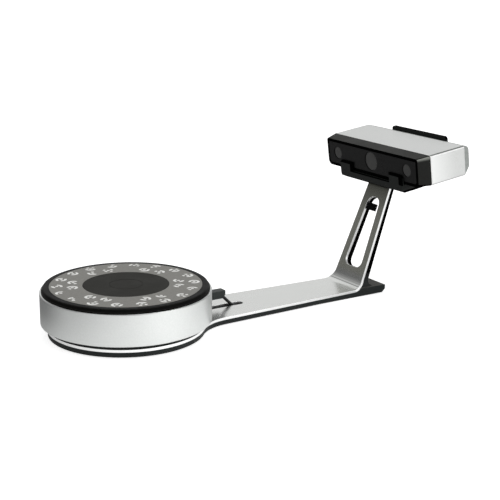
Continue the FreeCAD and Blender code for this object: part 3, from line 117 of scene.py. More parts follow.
def blendColour(tree, factor, first, second, mode="MIX"):
    node = addNode(tree, "ShaderNodeMix", data_type="RGBA", blend_type=mode)
    feed(tree, factor, node.inputs[0])  # inputs 6 and 7 and output 2 are the node's colour sockets
    feed(tree, first, node.inputs[6])
    feed(tree, second, node.inputs[7])
    return node.outputs[2]


def noise(tree, vector, scale, detail=2.0, roughness=0.5):
    node = addNode(tree, "ShaderNodeTexNoise")
    feed(tree, vector, node.inputs["Vector"])
    feed(tree, scale, node.inputs["Scale"])
    feed(tree, detail, node.inputs["Detail"])
    feed(tree, roughness, node.inputs["Roughness"])
    return node.outputs["Fac"]


def newGroup(name, inputs, outputs):
    group = bpy.data.node_groups.new(name, "ShaderNodeTree")
    for label, kind, value in inputs:
        socket = group.interface.new_socket(name=label, in_out="INPUT", socket_type=kind)
        if value is not None:
            socket.default_value = value
    for label, kind in outputs:
        group.interface.new_socket(name=label, in_out="OUTPUT", socket_type=kind)
    start = group.nodes.new("NodeGroupInput")
    end = group.nodes.new("NodeGroupOutput")
    return group, start.outputs, end.inputs


def useGroup(tree, group, **values):
    node = addNode(tree, "ShaderNodeGroup", node_tree=group)
    for name, value in values.items():
        feed(tree, value, node.inputs[name])
    return node.outputs


# Shared effects: pairs are (detail, roughness) of a noise or the (low, high) ends of a ramp
effectLook = {
    "fineNoise": (1.5, 0.6), "coarseNoise": (3.0, 0.55), "fleck": (0.36, 0.64),
    "edgeNoiseScale": 320.0, "edgeNoiseDetail": 3.0, "edgeNoiseRange": (0.34, 0.6),
    "dustFacing": (0.35, 1.0), "dustScale": 45.0, "dustDetail": 4.0, "dustRange": (0.42, 0.72),
    "speckScale": 1900.0, "speckRange": (0.7, 0.78), "handlingNoise": (4.0, 0.6), "handlingRange": (0.4, 0.68),
}


def makeGrainGroup():
    look = effectLook
    group, given, out = newGroup(
        "surfaceGrain",
        [("Vector", "NodeSocketVector", None), ("Fine", "NodeSocketFloat", 2500.0),
         ("Coarse", "NodeSocketFloat", 260.0), ("Balance", "NodeSocketFloat", 0.35)],
        [("Height", "NodeSocketFloat"), ("Fleck", "NodeSocketFloat")])
    fine = noise(group, given["Vector"], given["Fine"], *look["fineNoise"])
    coarse = noise(group, given["Vector"], given["Coarse"], *look["coarseNoise"])
    mixed = maths(group, "MULTIPLY_ADD", maths(group, "SUBTRACT", coarse, fine), given["Balance"], fine)
    feed(group, mixed, out["Height"])
    feed(group, ramp(group, mixed, *look["fleck"]), out["Fleck"])
    return group


def makeEdgeWearAndPaintedLightGroup():
    look = effectLook
    group, given, out = newGroup(
        "edgeWearAndPaintedLight",
        [("Edge", "NodeSocketFloat", 0.0), ("Vector", "NodeSocketVector", None),
         ("Amount", "NodeSocketFloat", 0.5), ("Least", "NodeSocketFloat", 0.35)],
        [("Mask", "NodeSocketFloat")])
    broken = noise(group, given["Vector"], look["edgeNoiseScale"], look["edgeNoiseDetail"])
    broken = ramp(group, broken, *look["edgeNoiseRange"], given["Least"], 1.0)
    feed(group, maths(group, "MULTIPLY", maths(group, "MULTIPLY", given["Edge"], broken), given["Amount"]),
         out["Mask"])
    return group


def makeDustGroup():
    look = effectLook
    group, given, out = newGroup(
        "settledDust",
        [("Normal", "NodeSocketVector", None), ("Vector", "NodeSocketVector", None),
         ("Amount", "NodeSocketFloat", 0.1)],
        [("Mask", "NodeSocketFloat")])
    split = addNode(group, "ShaderNodeSeparateXYZ")
    feed(group, given["Normal"], split.inputs[0])
    facing = ramp(group, split.outputs["Z"], *look["dustFacing"])
    patchy = noise(group, given["Vector"], look["dustScale"], look["dustDetail"])
    patchy = ramp(group, patchy, *look["dustRange"])
    specks = ramp(group, noise(group, given["Vector"], look["speckScale"], 0.0), *look["speckRange"])
    both = maths(group, "ADD", patchy, specks, clamp=True)
    feed(group, maths(group, "MULTIPLY", maths(group, "MULTIPLY", facing, both), given["Amount"]), out["Mask"])
    return group


def makeHandlingGroup():
    group, given, out = newGroup(
        "handling",
        [("Vector", "NodeSocketVector", None), ("Scale", "NodeSocketFloat", 16.0)],
        [("Mask", "NodeSocketFloat")])
    wide = noise(group, given["Vector"], given["Scale"], *effectLook["handlingNoise"])
    feed(group, ramp(group, wide, *effectLook["handlingRange"]), out["Mask"])
    return group


grainGroup = makeGrainGroup()
edgeWearAndPaintedLightGroup = makeEdgeWearAndPaintedLightGroup()
dustGroup = makeDustGroup()
handlingGroup = makeHandlingGroup()


def startMaterial(name, stretch=(1.0, 1.0, 1.0)):
    material = bpy.data.materials.new(name)
    material.use_nodes = True
    tree = material.node_tree
    tree.nodes.clear()
    output = tree.nodes.new("ShaderNodeOutputMaterial")
    shader = tree.nodes.new("ShaderNodeBsdfPrincipled")
    tree.links.new(shader.outputs["BSDF"], output.inputs["Surface"])
    place = addNode(tree, "ShaderNodeTexCoord")
    mapping = addNode(tree, "ShaderNodeMapping")
    mapping.inputs["Scale"].default_value = stretch
    tree.links.new(place.outputs["Object"], mapping.inputs["Vector"])
    return material, tree, shader, mapping.outputs["Vector"]


# One finish: two mottled tones, grain in the normal, edges coloured with wear and with painted highlight and
# shade, handling marks and a little dust
finishDefaults = dict(stretch=(1.0, 1.0, 1.0), fine=2500.0, coarse=260.0, handlingScale=16.0, stain=0.1, wearAndPaintedLight=0.4,
                      wearAndPaintedLightLeast=0.35, dust=0.03, roughSpread=0.06, grainRough=0.05, bump=0.25, bumpDepth=0.08 * mm,
                      metallic=0.0, ior=1.45, specular=0.5, dustColour=fromScreen(150, 148, 143))


def makeFinish(name, look, pattern=None):
    look = {**finishDefaults, "stainColour": look["low"], "wearColour": look["high"], **look}
    material, tree, shader, where = startMaterial(name, look["stretch"])
    grain = useGroup(tree, grainGroup, Vector=where, Fine=look["fine"], Coarse=look["coarse"])
    handled = useGroup(tree, handlingGroup, Vector=where, Scale=look["handlingScale"])["Mask"]
    tone = blendColour(tree, grain["Fleck"], look["low"], look["high"])
    if pattern is not None:
        tone = pattern(tree, where, tone)
    tone = blendColour(tree, maths(tree, "MULTIPLY", handled, look["stain"]), tone, look["stainColour"])
    # Edge colour: wear on most finishes, a painted highlight on the satin, sleeve, ring and cut-edge aluminium,
    # painted shade on the panel, bezel and heel top
    edge = addNode(tree, "ShaderNodeAttribute", attribute_name="edgeTouch")
    wornAndPaintedLight = useGroup(tree, edgeWearAndPaintedLightGroup, Edge=edge.outputs["Fac"], Vector=where, Amount=look["wearAndPaintedLight"],
                    Least=look["wearAndPaintedLightLeast"])["Mask"]
    tone = blendColour(tree, wornAndPaintedLight, tone, look["wearColour"])
    facing = addNode(tree, "ShaderNodeNewGeometry")
    dust = useGroup(tree, dustGroup, Normal=facing.outputs["Normal"], Vector=where, Amount=look["dust"])["Mask"]
    tone = blendColour(tree, dust, tone, look["dustColour"])
    spread = look["roughSpread"]
    roughness = maths(tree, "MULTIPLY_ADD", handled, -spread, look["rough"] + spread / 2)
    roughness = maths(tree, "MULTIPLY_ADD", grain["Fleck"], look["grainRough"], roughness, clamp=True)
    bump = addNode(tree, "ShaderNodeBump")
    setInputs(bump, {"Strength": look["bump"], "Distance": look["bumpDepth"]})
    feed(tree, grain["Height"], bump.inputs["Height"])
    feed(tree, tone, shader.inputs["Base Color"])
    feed(tree, roughness, shader.inputs["Roughness"])
    feed(tree, bump.outputs["Normal"], shader.inputs["Normal"])
    setInputs(shader, {"Metallic": look["metallic"], "IOR": look["ior"], "Specular IOR Level": look["specular"]})
    return material


# Distance along one of the head's own directions
def alongHead(tree, where, direction):
    axis = headPlace.to_3x3() @ Vector(direction)
    node = addNode(tree, "ShaderNodeVectorMath", operation="DOT_PRODUCT")
    feed(tree, where, node.inputs[0])
    node.inputs[1].default_value = axis
    return maths(tree, "SUBTRACT", node.outputs["Value"], headPlace.translation.dot(axis))


# Painted highlight: the sleeve's two ends are painted paler towards the front
sleeveHighlight = {"end": (102.5 * mm, 103.4 * mm), "fade": (0.0, 42.0 * mm), "highlightColour": (0.83, 0.84, 0.83, 1)}


def sleeveHighlightPattern(tree, where, tone):
    side = maths(tree, "ABSOLUTE", alongHead(tree, where, (0, 1, 0)))
    side = ramp(tree, side, *sleeveHighlight["end"])
    depth = ramp(tree, alongHead(tree, where, (1, 0, 0)), *sleeveHighlight["fade"], 1.0, 0.0, smooth=False)
    return blendColour(tree, maths(tree, "MULTIPLY", side, depth), tone, sleeveHighlight["highlightColour"])


# The bezel's sides catch a soft streak of light below their rounded top
streakLook = {"rise": (-6.5 * mm, -2.0 * mm), "fall": (-1.5 * mm, -0.6 * mm), "most": 0.85, "least": 0.1,
              "colour": fromScreen(150, 152, 146)}


def bezelSidePattern(tree, where, tone):
    look = streakLook
    level = alongHead(tree, where, (0, 0, 1))
    falling = ramp(tree, level, *look["fall"], look["most"], look["least"])
    streak = maths(tree, "MULTIPLY", ramp(tree, level, *look["rise"]), falling)
    return blendColour(tree, streak, tone, look["colour"])


# The stand plate: two dark lines across the bend (in degrees round its centre), a warmer post, and painted shade
# under the cradle
bendLook = {
    "centre": (324.7 * mm, 28.8 * mm), "marks": ((31.5, 2.2, 0.75), (44.0, 1.4, 0.35)),
    "markColour": (0.16, 0.165, 0.16, 1), "warm": (20.8 * mm, 32.8 * mm), "warmTint": (1.0, 0.99, 0.9, 1),
    "shade": (96.0 * mm, 150.0 * mm), "shadeTint": (0.35, 0.35, 0.34, 1),
}


def bendPattern(tree, where, tone):
    look = bendLook
    centreX, centreZ = look["centre"]
    split = addNode(tree, "ShaderNodeSeparateXYZ")
    feed(tree, where, split.inputs[0])
    height = split.outputs["Z"]
    along = maths(tree, "SUBTRACT", split.outputs["X"], centreX)
    angle = maths(tree, "ARCTAN2", along, maths(tree, "SUBTRACT", centreZ, height))
    angle = maths(tree, "MULTIPLY", angle, math.degrees(1.0))
    for middle, half, depth in look["marks"]:
        off = maths(tree, "ABSOLUTE", maths(tree, "SUBTRACT", angle, middle))
        line = ramp(tree, off, 0.5 * half, 1.5 * half, 1.0, 0.0)  # soft over one half-width
        line = maths(tree, "MULTIPLY", line, depth)
        tone = blendColour(tree, line, tone, look["markColour"])
    tone = blendColour(tree, ramp(tree, height, *look["warm"]), tone, look["warmTint"], "MULTIPLY")
    return blendColour(tree, ramp(tree, height, *look["shade"]), tone, look["shadeTint"], "MULTIPLY")


# Coded targets on the marker ring: a dot inside a broken ring, its breaks drawn by lot for each target
targetLook = {
    "outerRadius": 83.5 * mm, "outerCount": 18, "outerStart": 16.0,
    "innerRadius": 65.5 * mm, "innerCount": 6, "innerStart": 33.0, "pairHalf": 9.6,
    "dot": 2.0 * mm, "ringIn": 3.7 * mm, "ringOut": 7.0 * mm, "sectors": 9,
    "soft": 0.16 * mm, "kept": 0.38, "seeds": (3.0, 11.0, 27.0),
    "thinScale": 900.0, "thinDetail": 2.0, "thinRange": (0.3, 0.5), "thinnest": 0.86,
    "ink": fromScreen(246, 246, 243), "low": fromScreen(128, 127, 122), "high": fromScreen(144, 143, 138),
}


def makeTargetGroup():
    names = ("Radius", "Step", "Start", "Count", "Seed", "Dot", "RingIn", "RingOut", "Sectors", "Soft", "Kept")
    group, given, out = newGroup(
        "targetRow",
        [("Vector", "NodeSocketVector", None)] + [(name, "NodeSocketFloat", 1.0) for name in names],
        [("Mask", "NodeSocketFloat")])
    split = addNode(group, "ShaderNodeSeparateXYZ")
    feed(group, given["Vector"], split.inputs[0])
    x, y = split.outputs["X"], split.outputs["Y"]
    angle = maths(group, "ARCTAN2", y, x)
    cells = maths(group, "DIVIDE", maths(group, "SUBTRACT", angle, given["Start"]), given["Step"])
    cell = maths(group, "ROUND", cells)
    local = maths(group, "MULTIPLY", maths(group, "SUBTRACT", cells, cell), given["Step"])
    reach = maths(group, "SQRT", maths(group, "MULTIPLY_ADD", x, x, maths(group, "MULTIPLY", y, y)))
    across = maths(group, "MULTIPLY", reach, maths(group, "SINE", local))
    outward = maths(group, "MULTIPLY", reach, maths(group, "COSINE", local))
    outward = maths(group, "SUBTRACT", outward, given["Radius"])
    away = maths(group, "MULTIPLY_ADD", across, across, maths(group, "MULTIPLY", outward, outward))
    away = maths(group, "SQRT", away)

    def inside(limit):
        gap = maths(group, "DIVIDE", maths(group, "SUBTRACT", limit, away), given["Soft"])
        return maths(group, "ADD", gap, 0.5, clamp=True)

    around = maths(group, "MULTIPLY_ADD", maths(group, "ARCTAN2", outward, across), 0.5 / math.pi, 0.5)
    sector = maths(group, "FLOOR", maths(group, "MULTIPLY", around, given["Sectors"]))
    home = maths(group, "FLOORED_MODULO", cell, given["Count"])
    draw = addNode(group, "ShaderNodeTexWhiteNoise", noise_dimensions="3D")
    key = addNode(group, "ShaderNodeCombineXYZ")
    feed(group, home, key.inputs[0])
    feed(group, sector, key.inputs[1])
    feed(group, given["Seed"], key.inputs[2])
    feed(group, key.outputs[0], draw.inputs["Vector"])
    kept = maths(group, "GREATER_THAN", draw.outputs["Value"], given["Kept"])
    band = maths(group, "SUBTRACT", inside(given["RingOut"]), inside(given["RingIn"]))
    marked = maths(group, "MAXIMUM", inside(given["Dot"]), maths(group, "MULTIPLY", band, kept))
    feed(group, marked, out["Mask"])
    return group


targetGroup = makeTargetGroup()


def targetPattern(tree, where, tone):
    look = targetLook
    rows = [(look["outerRadius"], look["outerCount"], look["outerStart"])]
    rows += [(look["innerRadius"], look["innerCount"], look["innerStart"] + side * look["pairHalf"])
             for side in (-1, 1)]
    mask = None
    for seed, (radius, count, start) in zip(look["seeds"], rows):
        row = useGroup(tree, targetGroup, Vector=where, Radius=radius, Step=2 * math.pi / count,
                       Start=math.radians(start), Count=float(count), Seed=seed, Dot=look["dot"],
                       RingIn=look["ringIn"], RingOut=look["ringOut"], Sectors=float(look["sectors"]),
                       Soft=look["soft"], Kept=look["kept"])["Mask"]
        mask = row if mask is None else maths(tree, "MAXIMUM", mask, row)
    thin = noise(tree, where, look["thinScale"], look["thinDetail"])
    thin = ramp(tree, thin, *look["thinRange"], look["thinnest"], 1.0)
    return blendColour(tree, maths(tree, "MULTIPLY", mask, thin), tone, look["ink"])


# The liner's base is lit from the floor and fades to black where its post begins
linerLook = {"name": "standLiner", "width": 0.5 * mm, "postStart": 30.0 * mm, "fadeStart": 16.0 * mm,
             "heelStart": 350.0 * mm, "heelFacing": 0.7, "faded": fromScreen(5, 6, 6)}


def linerPattern(tree, where, tone):
    split = addNode(tree, "ShaderNodeSeparateXYZ")
    feed(tree, where, split.inputs[0])
    fade = ramp(tree, split.outputs["Z"], linerLook["fadeStart"], linerLook["postStart"])
    return blendColour(tree, fade, tone, linerLook["faded"])


# Looks of the finishes, one for each material slot and for the parts of a piece that differ
# Edge colours: the paler ones on satin_aluminium, sleeve_aluminium, ring_aluminium and cut_edge are painted
# highlights; the darker ones on panel_black, bezel_black, bezel_side and heel_top are painted shade; the rest are
# wear
finishLooks = {
    "satin_aluminium": dict(low=(0.61, 0.62, 0.605, 1), high=(0.67, 0.68, 0.665, 1), metallic=1.0, rough=0.22,
                            roughSpread=0.03, grainRough=0.03, fine=3200.0, coarse=1200.0, bump=0.06,
                            bumpDepth=0.02 * mm, stain=0.03, stainColour=(0.52, 0.53, 0.52, 1), wearAndPaintedLight=0.7,
                            wearAndPaintedLightLeast=0.8, wearColour=(0.92, 0.92, 0.92, 1), dust=0.015),
    "sleeve_aluminium": dict(low=(0.60, 0.61, 0.60, 1), high=(0.67, 0.68, 0.67, 1), metallic=1.0, rough=0.36,
                             roughSpread=0.03, fine=2600.0, coarse=420.0, bump=0.3, bumpDepth=0.05 * mm,
                             stain=0.04, wearAndPaintedLight=0.8, wearAndPaintedLightLeast=0.8, wearColour=(0.95, 0.95, 0.95, 1),
                             dust=0.015),
    "liner_plastic": dict(low=fromScreen(30, 33, 33), high=fromScreen(39, 43, 42), rough=0.55, bump=0.35,
                          fine=1700.0, wearColour=fromScreen(84, 88, 86), dust=0.04, specular=0.2),
    "black_plastic": dict(low=fromScreen(20, 22, 21), high=fromScreen(28, 30, 29), rough=0.5, bump=0.3,
                          fine=1900.0, wearColour=fromScreen(62, 64, 62), dust=0.03, specular=0.2),
    "rear_grey": dict(low=fromScreen(152, 157, 154), high=fromScreen(170, 174, 171), rough=0.42, bump=0.2,
                      metallic=0.35, fine=2400.0, wearColour=fromScreen(190, 192, 190), dust=0.04),
    "panel_black": dict(low=fromScreen(22, 22, 22), high=fromScreen(27, 27, 27), rough=0.3, bump=0.08,
                        ior=1.35, specular=0.12, wearAndPaintedLight=1.0, wearColour=fromScreen(8, 8, 8), dust=0.02,
                        handlingScale=22.0, roughSpread=0.1),
    "platter_black": dict(low=fromScreen(9, 9, 8), high=fromScreen(15, 15, 14), rough=0.42, bump=0.3,
                          fine=1800.0, wearColour=fromScreen(64, 64, 61), dust=0.01, specular=0.04),
    "pad_grey": dict(low=fromScreen(42, 42, 39), high=fromScreen(48, 48, 44), rough=0.72, bump=0.4,
                     fine=1500.0, bumpDepth=0.1 * mm, dust=0.02, stain=0.05, wearColour=fromScreen(80, 80, 76),
                     specular=0.15),
    "foot_rubber": dict(low=fromScreen(24, 25, 24), high=fromScreen(34, 35, 34), rough=0.8, bump=0.6,
                        fine=1100.0, bumpDepth=0.15 * mm, dust=0.12, wearColour=fromScreen(60, 61, 60),
                        specular=0.25),
    "lead_rubber": dict(low=fromScreen(22, 22, 22), high=fromScreen(32, 32, 32), rough=0.42, bump=0.25,
                        fine=1600.0, dust=0.05, specular=0.4),
    "gear_acetal": dict(low=(0.74, 0.72, 0.64, 1), high=(0.82, 0.80, 0.73, 1), rough=0.38, bump=0.15,
                        stain=0.2, stainColour=(0.6, 0.56, 0.46, 1)),
    "brass": dict(low=(0.62, 0.45, 0.2, 1), high=(0.76, 0.58, 0.3, 1), metallic=1.0, rough=0.28, bump=0.25,
                  stretch=(1.0, 1.0, 14.0), fine=700.0, stain=0.25, stainColour=(0.42, 0.28, 0.12, 1)),
    "steel": dict(low=(0.42, 0.42, 0.43, 1), high=(0.6, 0.6, 0.61, 1), metallic=1.0, rough=0.3, bump=0.25,
                  fine=900.0, stain=0.2, stainColour=(0.26, 0.25, 0.25, 1)),
    "motor_steel": dict(low=(0.44, 0.44, 0.45, 1), high=(0.56, 0.56, 0.57, 1), metallic=1.0, rough=0.34,
                        bump=0.3, stretch=(1.0, 1.0, 10.0), fine=600.0, stain=0.15,
                        stainColour=(0.3, 0.3, 0.31, 1)),
    "alloy_inside": dict(low=(0.48, 0.48, 0.48, 1), high=(0.6, 0.6, 0.6, 1), metallic=1.0, rough=0.45,
                         bump=0.5, fine=900.0, stain=0.12, stainColour=(0.36, 0.36, 0.36, 1)),
    "button_plastic": dict(low=fromScreen(34, 34, 34), high=fromScreen(42, 42, 42), rough=0.3, bump=0.12,
                           wearColour=fromScreen(76, 76, 76)),
    "cut_edge": dict(low=(0.84, 0.85, 0.85, 1), high=(0.94, 0.94, 0.94, 1), metallic=1.0, rough=0.3, bump=0.2,
                     fine=900.0, stretch=(1.0, 1.0, 6.0), stain=0.04, wearAndPaintedLight=0.2,
                     wearColour=(0.98, 0.98, 0.98, 1), dust=0.0),
    "ring_aluminium": dict(low=(0.60, 0.615, 0.605, 1), high=(0.66, 0.675, 0.665, 1), metallic=1.0, rough=0.32,
                           roughSpread=0.03, fine=2600.0, coarse=500.0, bump=0.2, bumpDepth=0.04 * mm, stain=0.03,
                           wearAndPaintedLight=0.6, wearAndPaintedLightLeast=0.85, wearColour=(0.94, 0.95, 0.94, 1), dust=0.01),
    "marker_grey": dict(low=targetLook["low"], high=targetLook["high"], rough=0.6, bump=0.3, fine=1500.0,
                        dust=0.03, stain=0.08, stainColour=fromScreen(104, 100, 94), specular=0.3),
    "plug_plastic": dict(low=fromScreen(51, 55, 53), high=fromScreen(61, 65, 63), rough=0.5, bump=0.35,
                         fine=1500.0, wearColour=fromScreen(92, 96, 93), dust=0.03, specular=0.2),
    "parked_black": dict(low=fromScreen(7, 7, 7), high=fromScreen(13, 13, 13), rough=0.6, bump=0.3, fine=1900.0,
                         wearColour=fromScreen(30, 30, 30), dust=0.01, specular=0.06, ior=1.3),
    "cradle_black": dict(low=fromScreen(24, 26, 25), high=fromScreen(32, 34, 33), rough=0.5, bump=0.3,
                         fine=1900.0, wearColour=fromScreen(58, 61, 59), dust=0.02, specular=0.13),
    "bezel_black": dict(low=fromScreen(20, 21, 17), high=fromScreen(26, 27, 22), rough=0.45, bump=0.15,
                        fine=1900.0, wearColour=fromScreen(12, 12, 11), wearAndPaintedLight=1.0, dust=0.02, specular=0.12),
    # bezel_side: bezel_black painted lighter, a lit copy for the bezel's sides
    "bezel_side": dict(low=fromScreen(27, 28, 26), high=fromScreen(33, 34, 32), rough=0.45, bump=0.15,
                       fine=1900.0, wearColour=fromScreen(12, 12, 11), wearAndPaintedLight=1.0, dust=0.02, specular=0.14),
    # heel_top: the liner plastic painted lighter, a lit copy for the heel's upward faces
    "heel_top": dict(low=fromScreen(74, 73, 70), high=fromScreen(86, 85, 81), rough=0.6, bump=0.35, fine=1700.0,
                     wearColour=fromScreen(30, 32, 31), wearAndPaintedLight=0.8, dust=0.04, specular=0.2),
    "shade_line": dict(low=(0.13, 0.143, 0.135, 1), high=(0.17, 0.183, 0.175, 1), metallic=0.6, rough=0.4,
                       bump=0.1, wearAndPaintedLight=0.0, dust=0.01),
    "glint_line": dict(low=(0.88, 0.88, 0.87, 1), high=(0.95, 0.95, 0.94, 1), metallic=0.25, rough=0.35,
                       bump=0.1, wearAndPaintedLight=0.0, dust=0.0),
    "shaded_gap": dict(low=fromScreen(2, 2, 2), high=fromScreen(5, 5, 5), rough=0.8, bump=0.3, fine=1900.0,
                       wearAndPaintedLight=0.0, dust=0.01, specular=0.02, ior=1.2),
}
finishLooks["liner_base"] = finishLooks["liner_plastic"]
patterns = {"satin_aluminium": bendPattern, "sleeve_aluminium": sleeveHighlightPattern, "bezel_side": bezelSidePattern,
            "marker_grey": targetPattern, "liner_base": linerPattern}
finishes = {name: makeFinish(name, look, patterns.get(name)) for name, look in finishLooks.items()}
print("finishes made")


# Tinted glass of the windows, with painted shade round its rim
windowGlassLook = {"middle": fromScreen(53, 53, 52), "rim": fromScreen(36, 36, 36), "fine": 900.0,
                   "coarse": 120.0, "balance": 0.6, "fleck": 0.12, "smearScale": 60.0, "smear": 0.1, "rough": 0.16,
                   "shader": {"Coat Weight": 0.08, "Coat Roughness": 0.05, "IOR": 1.4, "Specular IOR Level": 0.3}}


def makeWindowGlass():
    look = windowGlassLook
    material, tree, shader, where = startMaterial("window_glass")
    grain = useGroup(tree, grainGroup, Vector=where, Fine=look["fine"], Coarse=look["coarse"],
                     Balance=look["balance"])
    rim = addNode(tree, "ShaderNodeAttribute", attribute_name="edgeTouch")
    tone = blendColour(tree, rim.outputs["Fac"], look["middle"], look["rim"])
    tone = blendColour(tree, maths(tree, "MULTIPLY", grain["Fleck"], look["fleck"]), tone, look["rim"])
    smear = useGroup(tree, handlingGroup, Vector=where, Scale=look["smearScale"])["Mask"]
    feed(tree, tone, shader.inputs["Base Color"])
    feed(tree, maths(tree, "MULTIPLY_ADD", smear, look["smear"], look["rough"]), shader.inputs["Roughness"])
    setInputs(shader, look["shader"])
    return material


# Coated lens glass: deep violet with a faint ring of reflections
lensGlassLook = {"blend": 0.35, "middle": (0.012, 0.01, 0.03, 1), "rim": (0.05, 0.02, 0.09, 1),
                 "sheen": (0.02, 0.05, 0.06, 1), "sheenScale": 260.0, "sheenShare": 0.3, "smearScale": 90.0,
                 "smearRange": (0.4, 0.7), "rough": (0.04, 0.12),
                 "shader": {"Coat Weight": 0.8, "Coat Roughness": 0.03}}


def makeLensGlass():
    look = lensGlassLook
    material, tree, shader, where = startMaterial("lens_glass")
    layer = addNode(tree, "ShaderNodeLayerWeight")
    layer.inputs["Blend"].default_value = look["blend"]
    tone = blendColour(tree, layer.outputs["Facing"], look["middle"], look["rim"])
    sheen = maths(tree, "MULTIPLY", noise(tree, where, look["sheenScale"]), look["sheenShare"])
    feed(tree, blendColour(tree, sheen, tone, look["sheen"]), shader.inputs["Base Color"])
    smear = noise(tree, where, look["smearScale"])
    feed(tree, ramp(tree, smear, *look["smearRange"], *look["rough"]), shader.inputs["Roughness"])
    setInputs(shader, look["shader"])
    return material


# Circuit board: solder mask over copper runs, with tinned dots
boardLook = {
    "offset": 0.37, "squash": 0.7, "dotScale": 190.0, "dotRange": (0.16, 0.12), "tin": (0.62, 0.6, 0.55, 1),
    "runs": {"Scale": 130.0, "Mortar Size": 0.05, "Mortar": (0.045, 0.22, 0.1, 1),
             "Color1": (0.022, 0.13, 0.055, 1), "Color2": (0.018, 0.11, 0.048, 1)},
    "smearScale": 500.0, "smearRange": (0.3, 0.7), "rough": (0.25, 0.4),
    "bump": {"Strength": 0.3, "Distance": 0.1 * mm},
}


def makeBoard():
    look = boardLook
    material, tree, shader, where = startMaterial("board_green")
    runs = addNode(tree, "ShaderNodeTexBrick", offset=look["offset"], squash=look["squash"])
    feed(tree, where, runs.inputs["Vector"])
    setInputs(runs, look["runs"])
    cells = addNode(tree, "ShaderNodeTexVoronoi")
    feed(tree, where, cells.inputs["Vector"])
    cells.inputs["Scale"].default_value = look["dotScale"]
    dots = ramp(tree, cells.outputs["Distance"], *look["dotRange"])
    feed(tree, blendColour(tree, dots, runs.outputs["Color"], look["tin"]), shader.inputs["Base Color"])
    feed(tree, dots, shader.inputs["Metallic"])
    smear = noise(tree, where, look["smearScale"])
    feed(tree, ramp(tree, smear, *look["smearRange"], *look["rough"]), shader.inputs["Roughness"])
    bump = addNode(tree, "ShaderNodeBump")
    setInputs(bump, look["bump"])
    feed(tree, dots, bump.inputs["Height"])
    feed(tree, bump.outputs["Normal"], shader.inputs["Normal"])
    return material


finishes["window_glass"] = makeWindowGlass()
finishes["lens_glass"] = makeLensGlass()
finishes["board_green"] = makeBoard()

for node, part in frame["nodes"].items():
    part.data.materials.clear()
    part.data.materials.append(finishes[slotOf[node]])
print("CAD nodes painted")


# Mesh tools: touching points merge, near-flat faces join, shading breaks at the sharp angle
meshLook = {"merge": 0.002 * mm, "flat": 0.7, "cut": 0.001 * mm, "sharp": 40.0, "soften": 32.0, "profile": 0.5,
            "seam": 0.001 * mm}


def meshOfNode(node):
    bm = bmesh.new()
    bm.from_mesh(frame["nodes"][node].data)
    bmesh.ops.remove_doubles(bm, verts=bm.verts, dist=meshLook["merge"])
    bmesh.ops.dissolve_limit(bm, angle_limit=math.radians(meshLook["flat"]), use_dissolve_boundaries=False,
                             verts=bm.verts, edges=bm.edges, delimit=set())
    return bm


def softenEdges(bm, width, segments=2, angle=meshLook["soften"], least=0.0):
    touch = bm.faces.layers.float.get("edgeTouch") or bm.faces.layers.float.new("edgeTouch")
    limit = math.radians(angle)
    skin = BVHTree.FromBMesh(bm)
    edges = [edge for edge in bm.edges
             if edge.is_manifold and edge.calc_face_angle(0.0) > limit and edge.calc_length() > least]
    made = bmesh.ops.bevel(bm, geom=edges, offset=width, offset_type="OFFSET", segments=segments,
                           profile=meshLook["profile"], affect="EDGES", clamp_overlap=False, loop_slide=True,
                           material=-1)
    for face in made["faces"]:
        face[touch] = 1.0
    for v in bm.verts:  # at short edges the bevel can throw a point off the surface
        nearest, _, _, distance = skin.find_nearest(v.co)
        if distance > width / 2:
            v.co = nearest


# A face's centre and normal in the head's own frame
def seenFromHead(face):
    return toHead @ face.calc_center_median(), toHead.to_3x3() @ face.normal


# Cuts the chosen faces along a plane given in the head's own frame
def cutAcross(bm, place, normal, chosen):
    geom = [face for face in bm.faces if chosen(*seenFromHead(face))]
    geom += list({edge for face in geom for edge in face.edges})
    geom += list({v for face in geom if isinstance(face, bmesh.types.BMFace) for v in face.verts})
    back = toHead.inverted()
    bmesh.ops.bisect_plane(bm, geom=geom, plane_co=back @ Vector(place),
                           plane_no=(back.to_3x3() @ Vector(normal)).normalized(), dist=meshLook["cut"])


def finishPiece(bm, name, node, *finishNames):
    mesh = bpy.data.meshes.new(name)
    bm.to_mesh(mesh)
    bm.free()
    for finishName in finishNames or [slotOf[node]]:
        mesh.materials.append(finishes[finishName])
    mesh.shade_smooth()
    mesh.set_sharp_from_angle(angle=math.radians(meshLook["sharp"]))
    piece = bpy.data.objects.new(name, mesh)
    bpy.context.scene.collection.objects.link(piece)
    weighted = piece.modifiers.new("evenShading", "WEIGHTED_NORMAL")
    weighted.keep_sharp = True
    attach(piece, bodyOf[node])
    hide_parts(node)


# Lays a profile of (radius, height) points round Z; a closed profile gives a ring
def lathe(bm, points, steps, rounding=0.0, closed=True):
    start = len(bm.verts)
    verts = [bm.verts.new((radius, 0.0, height)) for radius, height in points]
    edges = [bm.edges.new(pair) for pair in zip(verts, verts[1:])]
    if closed:
        edges.append(bm.edges.new((verts[-1], verts[0])))
    if rounding:
        corners = [v for v in verts if len(v.link_edges) == 2 and v.co.x > meshLook["seam"]]
        bmesh.ops.bevel(bm, geom=corners, offset=rounding, offset_type="OFFSET", segments=3,
                        profile=meshLook["profile"], affect="VERTICES", clamp_overlap=True, material=-1)
    bm.verts.ensure_lookup_table()
    geom = bm.verts[start:]
    geom += list({edge for v in geom for edge in v.link_edges})
    bmesh.ops.spin(bm, geom=geom, cent=(0, 0, 0), axis=(0, 0, 1), angle=2 * math.pi, steps=steps,
                   use_merge=True, use_duplicate=False)
    bmesh.ops.remove_doubles(bm, verts=bm.verts, dist=meshLook["seam"])
    bmesh.ops.recalc_face_normals(bm, faces=bm.faces)


